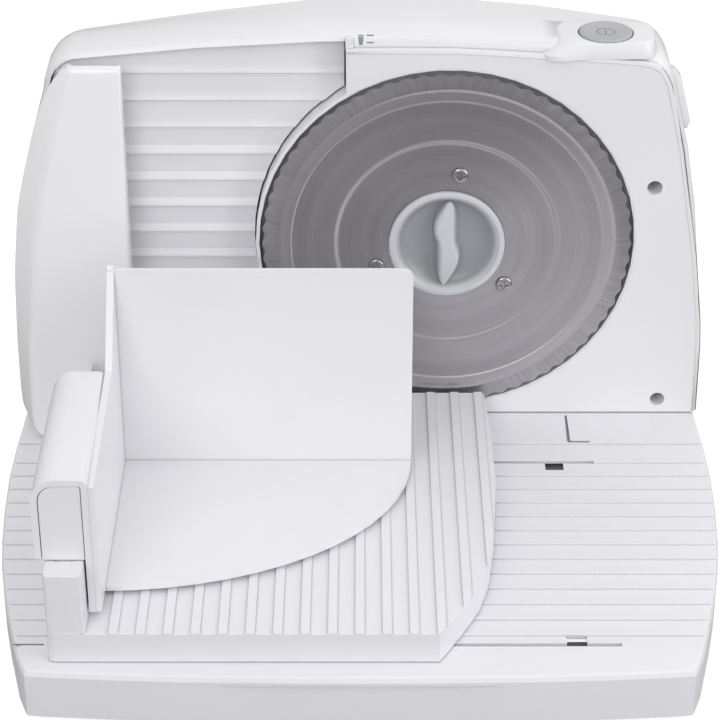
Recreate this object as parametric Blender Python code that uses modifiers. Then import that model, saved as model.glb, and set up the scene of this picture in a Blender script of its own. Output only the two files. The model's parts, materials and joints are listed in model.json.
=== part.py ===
"""Electric food slicer: a ribbed base, an arched motor housing with a round blade,
a sliding carriage with its hand guard, and a food pusher that runs on the carriage's wall.

Run with Blender 4.5. Metres, +Z up. The origin is the centre of the base at table height.
X runs along the carriage's travel, and +Y points from the user to the blade.
"""
from math import cos, pi, radians, sin, sqrt, tau

import bmesh
import bpy
from mathutils import Matrix, Vector

# Driving dimensions, in metres
GAP = 0.0003
WALL = 0.0025
MERGE = 0.00001

BASE_HALF_WIDTH = 0.181
BASE_FRONT_Y = -0.161
BASE_BACK_Y = 0.161
BASE_TOP_Z = 0.0295
BASE_RIM_Z = 0.0035
BASE_RIB_PITCH = 0.0122
BASE_RIB_WIDTH = 0.0022
BASE_RIB_HEIGHT = 0.0008
BASE_EDGE_ROUND = 0.003
SCOOP_HALF_WIDTH = 0.085
SCOOP_DEPTH = 0.006
FLAT_BAND = 0.030
SLIT_X = 0.1096
SLIT_LENGTH = 0.0115
SLIT_WIDTH = 0.0012
SLOT_WIDTH = 0.0024
SLOT_END_GAP = 0.0019
REAR_SLOT_Y = 0.019
FRONT_SLOT_Y = -0.136
NOTCH_X = 0.1008
NOTCH_LENGTH = 0.0095
NOTCH_DEPTH = 0.0062
FOOT_RADIUS = 0.009
FOOT_HEIGHT = 0.0065
FOOT_STEM_RADIUS = 0.003
FOOT_STEM_LENGTH = 0.007
FOOT_CHAMFER = 0.0008
FOOT_INSET_X = 0.135
FOOT_FRONT_Y = -0.119
FOOT_BACK_Y = 0.135

BOTTOM_HALF_WIDTH = 0.115
BOTTOM_FRONT_Y = 0.060
BOTTOM_BACK_Y = 0.150
BOTTOM_Z = 0.005
BOTTOM_THICKNESS = 0.002
POST_RADIUS = 0.005
SMALL_SCREW_RADIUS = 0.0016
SMALL_SCREW_LENGTH = 0.012
VENT_COUNT = 6
VENT_PITCH = 0.006
VENT_WIDTH = 0.0024
VENT_LENGTH = 0.034

COVER_Y = 0.066
COVER_THICKNESS = 0.003
COVER_EDGE_ROUND = 0.0008
COVER_LEFT_X = -0.0070
COVER_HOLE_RADIUS = 0.0040
UPPER_SCREW_INSET = 0.0312
UPPER_SCREW_DROP = 0.0823
LOWER_SCREW_INSET = 0.0220
LOWER_SCREW_RISE = 0.0087
COVER_LIP = 0.0040
COVER_SOCKET_WALL = 0.0015
COVER_SOCKET_DEPTH = 0.016
HOUSING_BACK_Y = 0.128
HOUSING_TOP_Z = 0.2465
HOUSING_WALL = 0.0028
HOUSING_CORNER = 0.019
HOUSING_BACK_ROUND = 0.008
HOUSING_FRONT_ROUND = 0.0035
BULGE_BACK_Y = 0.150
BULGE_LEFT_X = -0.030
BULGE_RIGHT_X = 0.134
BULGE_TOP_Z = 0.180
BULGE_CORNER = 0.025
GLAND_X = -0.060
GLAND_Z = 0.048
GLAND_RADIUS = 0.006
GLAND_BORE = 0.0035
GLAND_FLANGE = 0.002

BLADE_X = 0.0446
BLADE_Z = 0.1326
BLADE_RADIUS = 0.095
BLADE_THICKNESS = 0.0012
BLADE_WAVES = 66
BLADE_WAVE_DEPTH = 0.0011
BLADE_FRONT_Y = 0.0645
BLADE_HOLE_RADIUS = 0.0262
BLADE_BEVEL_RADIUS = 0.0865
BLADE_RING_WIDTH = 0.0065
BLADE_STEP_RADIUS = 0.058
BLADE_EDGE_THICKNESS = 0.0003
BLADE_DISH = 0.0022
WELL_CLEARANCE = 0.0014
WELL_WALL = 0.0018
WELL_DEPTH = 0.0125
WELL_SET_BACK = 0.0002
WELL_HOLE_RADIUS = 0.0435
SCREW_CIRCLE_RADIUS = 0.0388
SCREW_ANGLES = (81, -39, -159)
SCREW_HEAD_RADIUS = 0.0043
SCREW_HEAD_HEIGHT = 0.0012
SCREW_SHANK_RADIUS = 0.0016

KNOB_RADIUS = 0.0298
KNOB_DEPTH = 0.0070
KNOB_STAND = 0.0028
KNOB_CLEARANCE = 0.0005
KNOB_RIM = 0.0030
KNOB_WALL = 0.0022
KNOB_STEM_RADIUS = 0.006
KNOB_STEM_LENGTH = 0.006
KNOB_GRIP_LENGTH = 0.048
KNOB_GRIP_WIDTH = 0.0136
KNOB_GRIP_TURN = 3
KNOB_GRIP_TIP = 0.0012
KNOB_GRIP_ROUND = 0.002
HUB_RADIUS = 0.0425
HUB_FLANGE = 0.0033
HUB_SLEEVE_RADIUS = 0.012
HUB_END = 0.002
HUB_SIDES = 22
AXLE_RADIUS = 0.004
GEAR_Y = 0.112
GEAR_TIP_RADIUS = 0.040
GEAR_TEETH = 40
GEAR_TOOTH_DEPTH = 0.0020
GEAR_WIDTH = 0.010
WORM_RADIUS = 0.0065
WORM_LENGTH = 0.026
WORM_THREAD_DEPTH = 0.0030
MESH_GAP = 0.0006
BEARING_RADIUS = 0.006
BEARING_WIDTH = 0.005
BEARING_GAP = 0.0010
FRAME_THICKNESS = 0.004
FRAME_MARGIN = 0.008
MOTOR_LENGTH = 0.032
MOTOR_DEPTH = 0.044
MOTOR_HEIGHT = 0.044
MOTOR_CORNER = 0.006
MOTOR_GAP = 0.003
MOTOR_AIR_GAP = 0.0006
ARMATURE_RADIUS = 0.014
FAN_RADIUS = 0.020
FAN_WIDTH = 0.005
FAN_BLADES = 9

GUIDE_SETTING = 0.008
GUIDE_TRAVEL = 0.015
GUIDE_THICKNESS = 0.0042
GUIDE_RIB_PITCH = 0.0148
GUIDE_RIB_DEPTH = 0.0016
GUIDE_RIB_SLOPE = 0.0042
GUIDE_RIB_LIP = 0.0010
GUIDE_FIRST_RIB_Z = 0.2240
GUIDE_EDGE_GAP = 0.0008
GUIDE_ROD_RADIUS = 0.003
GUIDE_ROD_X = -0.105
GUIDE_ROD_LOW_Z = 0.082
GUIDE_ROD_HIGH_Z = 0.190
CARRIER_WIDTH = 0.022
CARRIER_END = 0.012
CARRIER_THICKNESS = 0.0035
SLEEVE_LENGTH = 0.022
NUT_RADIUS = 0.009
NUT_LENGTH = 0.016
DIAL_RADIUS = 0.024
DIAL_FLUTES = 16
DIAL_FLUTE_DEPTH = 0.0012
DIAL_SEAT_DEPTH = 0.008
DIAL_HEIGHT = 0.016
DIAL_Z = 0.136
DIAL_SCREW_RADIUS = 0.0045
DIAL_THREAD_DEPTH = 0.0009
DIAL_LEAD = 0.020

CARRIAGE_TOP_Z = 0.0463
CARRIAGE_FRONT_Y = -0.1492
CARRIAGE_BACK_Y = 0.0608
CARRIAGE_LEFT_X = -0.143
CARRIAGE_RIGHT_X = 0.0680
CARRIAGE_FRONT_RIGHT_X = 0.0365
CARRIAGE_CORNER = 0.003
CARRIAGE_EDGE_ROUND = 0.0008
CARRIAGE_WALL = 0.0025
CARRIAGE_RIB_PITCH = 0.0125
CARRIAGE_RIB_WIDTH = 0.0042
CARRIAGE_RIB_HEIGHT = 0.0010
CARRIAGE_TRAVEL = 0.115
SIDE_WALL_WIDTH = 0.018
SIDE_WALL_TOP_Z = 0.0777
SIDE_WALL_BACK_Y = 0.0372
RUNNER_GROOVE_WIDTH = 0.008
RUNNER_GROOVE_DEPTH = 0.009
STOP_LENGTH = 0.012
HOOK_X = (-0.132, 0.001)
HOOK_LENGTH = 0.007
HOOK_THICKNESS = 0.0014
HOOK_LIP = 0.0035
HOOK_CLEARANCE = 0.0004

GUARD_RIGHT_X = -0.1175
GUARD_TOP_Z = 0.2365
GUARD_BOTTOM_Z = 0.0312
GUARD_THICKNESS = 0.0018
GUARD_BACK_Y = 0.0600
GUARD_LOW_DEPTH = 0.0230
GUARD_TOP_DEPTH = 0.0040
GUARD_PEG_RADIUS = 0.0022
GUARD_FOLD_X = -0.1685
GUARD_FOLD_LEAN = 0.022
GUARD_REAR_X = -0.1785
GUARD_REAR_LEAN = 0.024
GUARD_FOLD_ROUND = 0.003
GUARD_FOOT_RADIUS = 0.015
GUARD_CLEARANCE = 0.0006
PEG_DEPTH = 0.008

PUSHER_FACE_Y = -0.012
PUSHER_RIGHT_X = 0.0257
PUSHER_TOP_Z = 0.159
PUSHER_WALL = 0.0026
PUSHER_CLEARANCE = 0.0015
PUSHER_SHELF_DEPTH = 0.107
GRIP_FRONT_Y = -0.137
GRIP_LENGTH = 0.094
GRIP_TOP_Z = 0.1212
GRIP_WALL = 0.0030
GRIP_LEFT_ROUND = 0.011
GRIP_RIGHT_ROUND = 0.004
PUSHER_CORNER = 0.004
PUSHER_WEB_OFFSET = 0.0036
GRIP_OVERHANG = 0.004
GRIP_INSERT_ROUND = 0.001

BUTTON_OFFSET = 0.0092
BUTTON_X = (BLADE_X + BASE_HALF_WIDTH) / 2 + BUTTON_OFFSET
BUTTON_Y = 0.0815
BUTTON_RADIUS = 0.0135
BUTTON_TRAVEL = 0.003
BUTTON_STAND = 0.0024
BUTTON_SINK = 0.0033
BUTTON_DIMPLE = 0.0006
FLANGE_THICKNESS = 0.002
FLANGE_DROP = 0.005
SWITCH_SIZE = (0.024, 0.018, 0.014)
SWITCH_BEVEL = 0.001
PAD_LENGTH = 0.048
PAD_BACK = 0.0150
PAD_CORNER = 0.008
PAD_HEIGHT = 0.0016
PAD_FOOT = 0.020
ARCH_DROP_AT_PAD = 0.0058
SAFETY_DROP = 0.0415
SAFETY_Z = HOUSING_TOP_Z - SAFETY_DROP
SAFETY_Y = 0.088
SAFETY_LENGTH = 0.030
SAFETY_WIDTH = 0.013
SAFETY_STAND = 0.0042
SAFETY_TRAVEL = 0.003
SAFETY_EDGE_ROUND = 0.0008

WHITE = (0.86, 0.86, 0.87)
GREY_WHITE = (0.74, 0.76, 0.76)
STEEL = (0.55, 0.54, 0.53)
DARK = (0.06, 0.06, 0.065)
RUBBER = (0.05, 0.05, 0.05)
BRASS = (0.72, 0.55, 0.28)
MILKY = (0.84, 0.85, 0.87)
COPPER = (0.65, 0.33, 0.18)


def start_scene():
    """Empty the file and make one collection for the pieces and one for the cutters."""
    for old in list(bpy.data.objects):
        bpy.data.objects.remove(old, do_unlink=True)
    made = []
    for name in ("food_slicer", "cutters"):
        group = bpy.data.collections.new(name)
        bpy.context.scene.collection.children.link(group)
        made.append(group)
    return made


PARTS, CUTTERS = start_scene()


def material(name, colour, roughness, metallic=0.0, alpha=1.0):
    """A Principled material, shared by the pieces that are made of it."""
    made = bpy.data.materials.get(name)
    if made is None:
        made = bpy.data.materials.new(name)
        made.use_nodes = True
        shader = made.node_tree.nodes["Principled BSDF"]
        shader.inputs["Base Color"].default_value = (*colour, 1.0)
        shader.inputs["Roughness"].default_value = roughness
        shader.inputs["Metallic"].default_value = metallic
        shader.inputs["Alpha"].default_value = alpha
    return made


def white_plastic():
    return material("white_plastic", WHITE, 0.35)


def grey_plastic():
    return material("grey_plastic", GREY_WHITE, 0.4)


def steel():
    return material("steel", STEEL, 0.3, 1.0)


def dark_plastic():
    return material("dark_plastic", DARK, 0.6)


def copper():
    return material("copper", COPPER, 0.4, 1.0)


def brass():
    return material("brass", BRASS, 0.35, 1.0)


def add_mesh(name, mesh, look=None):
    """Put a mesh in the scene: with a look it is a piece, without one it is a cutter."""
    made = bpy.data.objects.new(name, mesh)
    if look is None:
        CUTTERS.objects.link(made)
        made.hide_render = True
        made.display_type = "WIRE"
    else:
        PARTS.objects.link(made)
        mesh.materials.append(look)
    return made


def smooth(piece, angle=35):
    """Round shading with sharp corners kept."""
    piece.data.shade_smooth()
    piece.data.set_sharp_from_angle(angle=radians(angle))
    return piece


def turn_to(axis):
    """The rotation that takes +Z to the named axis, and leaves an outline upright."""
    turns = {
        "Z": Matrix(),
        "Y": Matrix.Rotation(pi / 2, 4, "X"),
        "X": Matrix.Rotation(pi / 2, 4, "Z") @ Matrix.Rotation(pi / 2, 4, "X"),
    }
    return turns[axis]


def slab(name, outlines, low, high, axis="Z", look=None, bevel=0.0):
    """A flat outline, with any holes in it, as thick as the span low to high along an axis.

    Outline points are (x, y) for Z, (x, z) for Y and (y, z) for X.
    """
    data = bpy.data.curves.new(name, "CURVE")
    data.dimensions = "2D"
    data.fill_mode = "BOTH"
    data.extrude = (high - low) / 2
    for outline in outlines:
        line = data.splines.new("POLY")
        line.points.add(len(outline) - 1)
        for point, (u, v) in zip(line.points, outline):
            point.co = (u, v, 0.0, 1.0)
        line.use_cyclic_u = True
    guide = bpy.data.objects.new(name + "_outline", data)
    CUTTERS.objects.link(guide)
    bpy.context.view_layer.update()
    ready = guide.evaluated_get(bpy.context.evaluated_depsgraph_get())
    mesh = bpy.data.meshes.new_from_object(ready)
    bpy.data.objects.remove(guide, do_unlink=True)
    mesh.name = name
    mesh.materials.clear()
    body = bmesh.new()
    body.from_mesh(mesh)
    bmesh.ops.remove_doubles(body, verts=body.verts, dist=MERGE)
    orient(body)
    body.to_mesh(mesh)
    body.free()
    middle = (low + high) / 2
    shift = {"Z": (0, 0, middle), "Y": (0, middle, 0), "X": (middle, 0, 0)}[axis]
    mesh.transform(Matrix.Translation(shift) @ turn_to(axis))
    piece = add_mesh(name, mesh, look)
    if bevel:
        round_edges(piece, bevel)
    return piece


def box(name, low, high, look=None, bevel=0.0):
    """A block between two corners."""
    mesh = bpy.data.meshes.new(name)
    body = bmesh.new()
    bmesh.ops.create_cube(body, size=1.0)
    low, high = Vector(low), Vector(high)
    size = high - low
    place = Matrix.Translation((low + high) / 2) @ Matrix.Diagonal((*size, 1.0))
    bmesh.ops.transform(body, matrix=place, verts=body.verts)
    body.to_mesh(mesh)
    body.free()
    piece = add_mesh(name, mesh, look)
    if bevel:
        round_edges(piece, bevel)
    return piece


def rod(name, centre, radius, low, high, axis="Y", look=None, sides=32, tip=None):
    """A cylinder, or a cone where tip gives its other radius, along an axis through centre."""
    mesh = bpy.data.meshes.new(name)
    body = bmesh.new()
    bmesh.ops.create_cone(
        body,
        cap_ends=True,
        segments=sides,
        radius1=radius,
        radius2=radius if tip is None else tip,
        depth=high - low,
    )
    along = {"X": "Y", "Y": "X", "Z": None}[axis]
    turn = Matrix() if along is None else Matrix.Rotation(pi / 2 if along == "Y" else -pi / 2, 4, along)
    middle = (low + high) / 2
    u, v = centre
    shift = {"Z": (u, v, middle), "Y": (u, middle, v), "X": (middle, u, v)}[axis]
    bmesh.ops.transform(body, matrix=Matrix.Translation(shift) @ turn, verts=body.verts)
    body.to_mesh(mesh)
    body.free()
    piece = add_mesh(name, mesh, look)
    return smooth(piece) if look else piece


def turned(name, profile, centre, axis="Y", look=None, steps=64):
    """A closed ring or disc turned from (radius, height) points, listed down its outer side.

    Height runs along the axis, from centre.
    """
    mesh = bpy.data.meshes.new(name)
    count = len(profile)
    closed = min(radius for radius, _ in profile) > MERGE
    edges = [(i, i + 1) for i in range(count - 1)]
    if closed:
        edges.append((count - 1, 0))
    mesh.from_pydata([(radius, 0.0, height) for radius, height in profile], edges, [])
    piece = add_mesh(name, mesh, look)
    screw = piece.modifiers.new("turn", "SCREW")
    screw.steps = steps
    screw.render_steps = steps
    screw.use_merge_vertices = True
    screw.merge_threshold = MERGE
    screw.use_smooth_shade = False
    bake(piece)
    turn = {"Z": Matrix(), "Y": Matrix.Rotation(-pi / 2, 4, "X"), "X": Matrix.Rotation(pi / 2, 4, "Y")}
    piece.data.transform(Matrix.Translation(centre) @ turn[axis])
    face_out(piece)
    return smooth(piece) if look else piece


def orient(body):
    """Point every face of a closed body outwards, so that its signed volume is positive."""
    bmesh.ops.recalc_face_normals(body, faces=body.faces)
    if body.calc_volume(signed=True) < 0:
        bmesh.ops.reverse_faces(body, faces=body.faces)


def face_out(piece):
    """Point the faces of a piece outwards."""
    body = bmesh.new()
    body.from_mesh(piece.data)
    orient(body)
    body.to_mesh(piece.data)
    body.free()


def bake(piece):
    """Replace a piece's mesh by what its modifiers make of it."""
    bpy.context.view_layer.update()
    ready = piece.evaluated_get(bpy.context.evaluated_depsgraph_get())
    mesh = bpy.data.meshes.new_from_object(ready)
    old = piece.data
    piece.modifiers.clear()
    piece.data = mesh
    mesh.name = old.name
    bpy.data.meshes.remove(old)
    return piece


def combine(piece, other, operation):
    """Boolean of two bodies, which keeps the first one's name and look."""
    step = piece.modifiers.new(operation.lower(), "BOOLEAN")
    step.operation = operation
    step.object = other
    step.solver = "EXACT"
    bake(piece)
    bpy.data.objects.remove(other, do_unlink=True)
    return piece


def cut(piece, *cutters):
    for cutter in cutters:
        combine(piece, cutter, "DIFFERENCE")
    return piece


def join(piece, *others):
    for other in others:
        combine(piece, other, "UNION")
    return piece


def group(name, pieces):
    """Several cutters in one object."""
    first, *rest = pieces
    body = bmesh.new()
    body.from_mesh(first.data)
    for piece in rest:
        body.from_mesh(piece.data)
        bpy.data.objects.remove(piece, do_unlink=True)
    body.to_mesh(first.data)
    body.free()
    first.name = name
    first.data.name = name
    return first


def numbered(name, pieces):
    """Name equal pieces name_1, name_2 and so on."""
    for i, piece in enumerate(pieces, 1):
        piece.name = piece.data.name = f"{name}_{i}"
    return pieces


def round_edges(piece, width, segments=2, angle=40):
    """Round the edges that are sharper than an angle."""
    step = piece.modifiers.new("round", "BEVEL")
    step.width = width
    step.segments = segments
    step.limit_method = "ANGLE"
    step.angle_limit = radians(angle)
    bake(piece)
    return piece


def hang_on(joint_name, place, pieces):
    """An empty on a joint's axis that carries the pieces that move with it."""
    holder = bpy.data.objects.new(joint_name, None)
    holder.empty_display_size = 0.02
    holder.location = place
    PARTS.objects.link(holder)
    bpy.context.view_layer.update()
    for piece in pieces:
        piece.parent = holder
        piece.matrix_parent_inverse = holder.matrix_world.inverted()
    return holder


def arc(centre, radius, start, end, steps):
    """Points on an arc, from one angle to another in degrees."""
    u, v = centre
    angles = [radians(start + (end - start) * i / steps) for i in range(steps + 1)]
    return [(u + radius * cos(a), v + radius * sin(a)) for a in angles]


def flowing(points, steps=4):
    """An open curve through the points (Catmull-Rom), with its ends kept."""
    padded = [points[0], *points, points[-1]]
    line = []
    for a, b, c, d in zip(padded, padded[1:], padded[2:], padded[3:]):
        for i in range(steps):
            t = i / steps
            line.append(
                tuple(
                    0.5 * (2 * b[k] + (c[k] - a[k]) * t + (2 * a[k] - 5 * b[k] + 4 * c[k] - d[k]) * t * t
                           + (3 * b[k] - a[k] - 3 * c[k] + d[k]) * t ** 3)
                    for k in (0, 1)
                )
            )
    return line + [points[-1]]


def inset(outline, amount):
    """A closed outline moved inwards; its points run counter-clockwise.

    Points that would land nearer to the outline than the amount are left out, so tight
    corners don't fold over.
    """
    count = len(outline)
    moved = []
    for i in range(count):
        before = Vector(outline[i - 1])
        here = Vector(outline[i])
        after = Vector(outline[(i + 1) % count])
        one = (here - before).normalized()
        two = (after - here).normalized()
        normal = Vector((-one.y - two.y, one.x + two.x))
        point = here + normal * 2 * amount / max(normal.length_squared, 0.4)
        if all(distance_to_side(point, outline[k - 1], outline[k]) > amount * 0.97 for k in range(count)):
            moved.append(tuple(point))
    return moved


def distance_to_side(point, start, end):
    """How far a point is from a straight side."""
    start, end = Vector(start), Vector(end)
    side = end - start
    share = min(1, max(0, (point - start).dot(side) / side.length_squared))
    return (point - start - side * share).length


def drawn_in(outline, amount, foot=None):
    """A closed outline drawn in by an amount at its sides and its top, and at its foot too
    unless the height of a foot that stays is given. It keeps its number of points."""
    us, vs = zip(*outline)
    middle, half = (max(us) + min(us)) / 2, (max(us) - min(us)) / 2
    base = (max(vs) + min(vs)) / 2 if foot is None else foot
    reach = max(vs) - base
    return [(middle + (u - middle) * (1 - amount / half), base + (v - base) * (1 - amount / reach))
            for u, v in outline]


def soft_slab(name, outline, low, high, axis="Z", look=None, low_round=0.0, high_round=0.0, foot=None,
              steps=2):
    """An outline as thick as the span low to high, with quarter rounds at its two ends."""
    sections = []
    for place, width, side in ((low, low_round, 1), (high, high_round, -1)):
        turns = [i / steps for i in range(steps + 1)] if width else [1.0]
        ends = [(place + side * width * (1 - cos(pi / 2 * t)), width * (1 - sin(pi / 2 * t))) for t in turns]
        sections += ends if side == 1 else ends[::-1]
    body = bmesh.new()
    rings = []
    for depth, amount in sections:
        line = drawn_in(outline, amount, foot) if amount else outline
        point = {"Z": lambda u, v: (u, v, depth), "Y": lambda u, v: (u, depth, v),
                 "X": lambda u, v: (depth, u, v)}
        rings.append([body.verts.new(point[axis](u, v)) for u, v in line])
    for one, two in zip(rings, rings[1:]):
        for i in range(len(one)):
            body.faces.new((one[i - 1], one[i], two[i], two[i - 1]))
    body.faces.new(rings[0])
    body.faces.new(rings[-1])
    orient(body)
    mesh = bpy.data.meshes.new(name)
    body.to_mesh(mesh)
    body.free()
    return add_mesh(name, mesh, look)


def rounded_box(low, high, radius, steps=4):
    """A rectangle with round corners, counter-clockwise."""
    (u0, v0), (u1, v1) = low, high
    corners = ((u1, v1, 0), (u0, v1, 90), (u0, v0, 180), (u1, v0, 270))
    points = []
    for u, v, angle in corners:
        centre = (u - radius if u == u1 else u + radius, v - radius if v == v1 else v + radius)
        points += arc(centre, radius, angle, angle + 90, steps)
    return points


def base_outline():
    """The base seen from above: bowed sides that are widest near the blade, and a bowed front."""
    half = BASE_HALF_WIDTH
    front = BASE_FRONT_Y
    right = [
        (half * 0.15, front),
        (half * 0.45, front + 0.0010),
        (half * 0.80, front + 0.0045),
        (half * 0.857, front + 0.009),
        (half * 0.895, front + 0.032),
        (half * 0.945, front + 0.070),
        (half * 0.980, front + 0.112),
        (half, front + 0.170),
        (half * 0.993, COVER_Y),
        (half * 0.975, BASE_BACK_Y - 0.022),
        (half * 0.955, BASE_BACK_Y - 0.006),
        (half * 0.90, BASE_BACK_Y),
    ]
    side = flowing(right, 2)
    return side + [(-x, y) for x, y in reversed(side)]


def channels_between(name, ridges, ridge_width, low, high, along):
    """Boxes between straight ridges that run along an axis: what they leave are the ridges."""
    side = 1 if along == "X" else 0
    starts = [low[side]] + [place + ridge_width / 2 for place in ridges]
    ends = [place - ridge_width / 2 for place in ridges] + [high[side]]
    boxes = []
    for start, end in zip(starts, ends):
        one, two = list(low), list(high)
        one[side], two[side] = start, end
        boxes.append(box("channel", one, two))
    return group(name, boxes)


def slot_ends():
    """Where the hooks' slots start and end, from the carriage's rest place and its travel."""
    start = HOOK_X[0] - HOOK_LENGTH / 2 - SLOT_END_GAP
    end = HOOK_X[1] + HOOK_LENGTH / 2 + CARRIAGE_TRAVEL + SLOT_END_GAP
    return start, end


def hook_slots(y, side):
    """A slot through the base's top for the carriage's hooks, with its loading notches."""
    half = SLOT_WIDTH / 2
    low, high = BASE_TOP_Z - 3 * WALL, BASE_TOP_Z + WALL
    start, end = slot_ends()
    cutters = [box("slot", (start, y - half, low), (end, y + half, high))]
    for x in HOOK_X:
        middle = x + NOTCH_X - HOOK_X[1]
        near, far = sorted((y - side * half / 2, y + side * (half + NOTCH_DEPTH)))
        size = NOTCH_LENGTH / 2
        cutters.append(box("notch", (middle - size, near, low), (middle + size, far, high)))
    return cutters


def foot_places():
    return [(x, y) for x in (-FOOT_INSET_X, FOOT_INSET_X) for y in (FOOT_FRONT_Y, FOOT_BACK_Y)]


def bottom_screw_places():
    x = BOTTOM_HALF_WIDTH - POST_RADIUS * 1.5
    near, far = BOTTOM_FRONT_Y + POST_RADIUS * 1.5, BOTTOM_BACK_Y - POST_RADIUS * 1.5
    return [(side * x, y) for side in (-1, 1) for y in (near, far)]


def base_posts():
    """Posts under the base's top: one on each foot's stem, and one on each bottom screw."""
    top = BASE_TOP_Z - WALL / 2
    posts = [rod("post", place, FOOT_RADIUS * 0.8, FOOT_HEIGHT + GAP, top, "Z", sides=10)
             for place in foot_places()]
    low = BOTTOM_Z + BOTTOM_THICKNESS + GAP
    posts += [rod("post", place, POST_RADIUS, low, top, "Z", sides=8) for place in bottom_screw_places()]
    return posts


def post_bores():
    """The blind holes in the posts."""
    high = FOOT_HEIGHT + FOOT_STEM_LENGTH + GAP
    bores = [rod("bore", place, FOOT_STEM_RADIUS + GAP, 0, high, "Z", sides=8) for place in foot_places()]
    high = BOTTOM_Z + SMALL_SCREW_LENGTH + GAP
    bores += [rod("bore", place, SMALL_SCREW_RADIUS + GAP, 0, high, "Z", sides=6)
              for place in bottom_screw_places()]
    return bores


def base_tray():
    """The base: a thin top with side walls, ridged across, and scooped under its front edge."""
    outline = base_outline()
    tray = soft_slab("base_tray", outline, BASE_RIM_Z, BASE_TOP_Z, look=white_plastic(),
                     high_round=BASE_EDGE_ROUND)
    cut(tray, slab("hollow", [inset(outline, WALL)], 0, BASE_TOP_Z - WALL))
    start, end = FRONT_SLOT_Y + SLOT_WIDTH, COVER_Y - FLAT_BAND
    count = int((end - start) / BASE_RIB_PITCH)
    ridges = [start + BASE_RIB_PITCH * (i + 0.5) for i in range(count)]
    edge = BASE_HALF_WIDTH + WALL
    low = (-edge, start, BASE_TOP_Z - BASE_RIB_HEIGHT)
    high = (edge, end, BASE_TOP_Z + WALL)
    cut(tray, channels_between("channels", ridges, BASE_RIB_WIDTH, low, high, "X"))
    cut(tray, *hook_slots(REAR_SLOT_Y, -1), *hook_slots(FRONT_SLOT_Y, 1))
    cut(tray, front_scoop(), slit_under_blade())
    join(tray, *base_posts())
    return cut(tray, *post_bores())


def front_scoop():
    """The hollow under the middle of the front edge, where fingers lift the slicer."""
    half, front = SCOOP_HALF_WIDTH, BASE_FRONT_Y
    line = flowing([(-half, front), (-half * 0.6, front + SCOOP_DEPTH * 0.2), (0, front + SCOOP_DEPTH * 0.26),
                    (half * 0.6, front + SCOOP_DEPTH * 0.2), (half, front)], 3)
    bite = line + [(half, front - SCOOP_DEPTH), (-half, front - SCOOP_DEPTH)]
    return slab("scoop", [bite], 0, BASE_TOP_Z - BASE_EDGE_ROUND * 1.6)


def slit_under_blade():
    """The narrow L-shaped slit in the base in front of the cover, right of the blade."""
    x, y = SLIT_X, COVER_Y - FLAT_BAND + SLIT_WIDTH
    outline = [(x, y), (x + SLIT_LENGTH, y), (x + SLIT_LENGTH, y + SLIT_WIDTH),
               (x + SLIT_WIDTH, y + SLIT_WIDTH), (x + SLIT_WIDTH, COVER_Y - WALL), (x, COVER_Y - WALL)]
    return slab("slit", [outline], BASE_TOP_Z - WALL * 0.7, BASE_TOP_Z + WALL)


def feet():
    """Four rubber feet: a pad that stands on the table, and a stem pressed up into the base's post."""
    made = []
    for x, y in foot_places():
        top = FOOT_HEIGHT + FOOT_STEM_LENGTH
        profile = [(0, top), (FOOT_STEM_RADIUS, top), (FOOT_STEM_RADIUS, FOOT_HEIGHT),
                   (FOOT_RADIUS, FOOT_HEIGHT), (FOOT_RADIUS, FOOT_CHAMFER), (FOOT_RADIUS - FOOT_CHAMFER, 0),
                   (0, 0)]
        made.append(turned("foot", profile, (x, y, 0), "Z", material("rubber", RUBBER, 0.8), 12))
    return numbered("foot", made)


def bottom_cover():
    """The plate that closes the motor space from below, with its air slots."""
    outline = rounded_box((-BOTTOM_HALF_WIDTH, BOTTOM_FRONT_Y), (BOTTOM_HALF_WIDTH, BOTTOM_BACK_Y),
                          POST_RADIUS)
    holes = [arc(place, SMALL_SCREW_RADIUS + GAP, 0, 300, 5) for place in bottom_screw_places()]
    middle = (BOTTOM_FRONT_Y + BOTTOM_BACK_Y) / 2
    for i in range(VENT_COUNT):
        x = BLADE_X + VENT_PITCH * (i - (VENT_COUNT - 1) / 2)
        low = (x - VENT_WIDTH / 2, middle - VENT_LENGTH / 2)
        high = (x + VENT_WIDTH / 2, middle + VENT_LENGTH / 2)
        holes.append([low, (high[0], low[1]), high, (low[0], high[1])])
    return slab("bottom_cover", [outline, *holes], BOTTOM_Z, BOTTOM_Z + BOTTOM_THICKNESS, look=grey_plastic())


def bottom_cover_screws():
    """The four screws that hold the bottom cover to the base's posts."""
    screws = []
    for x, y in bottom_screw_places():
        screws.append(screw((x, y, BOTTOM_Z - GAP), "Z", SMALL_SCREW_RADIUS, SMALL_SCREW_LENGTH))
    return numbered("bottom_cover_screw", screws)


def screw(place, axis, radius, length):
    """A pan-head screw: its head stands before the place, and its shank runs on along the axis."""
    head = radius * 1.9
    profile = [(0, length), (radius, length), (radius, 0), (head, 0), (head, -radius * 0.6),
               (head * 0.6, -radius), (0, -radius)]
    return turned("screw", profile, place, axis, steel(), 7)


def housing_right():
    """The right side of the housing seen from the front, from its top corner to its foot."""
    low, top, half = BASE_TOP_Z + GAP, HOUSING_TOP_Z, BASE_HALF_WIDTH
    side = arc((half * 0.760, top - 0.0275), HOUSING_CORNER, 79, 10, 5)
    return side + [(half * 0.885, top - 0.040), (half * 0.917, top - 0.062), (half * 0.949, low + 0.122),
                   (half * 0.975, low + 0.080), (half * 0.985, low + 0.035), (half * 0.985, low)]


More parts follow.
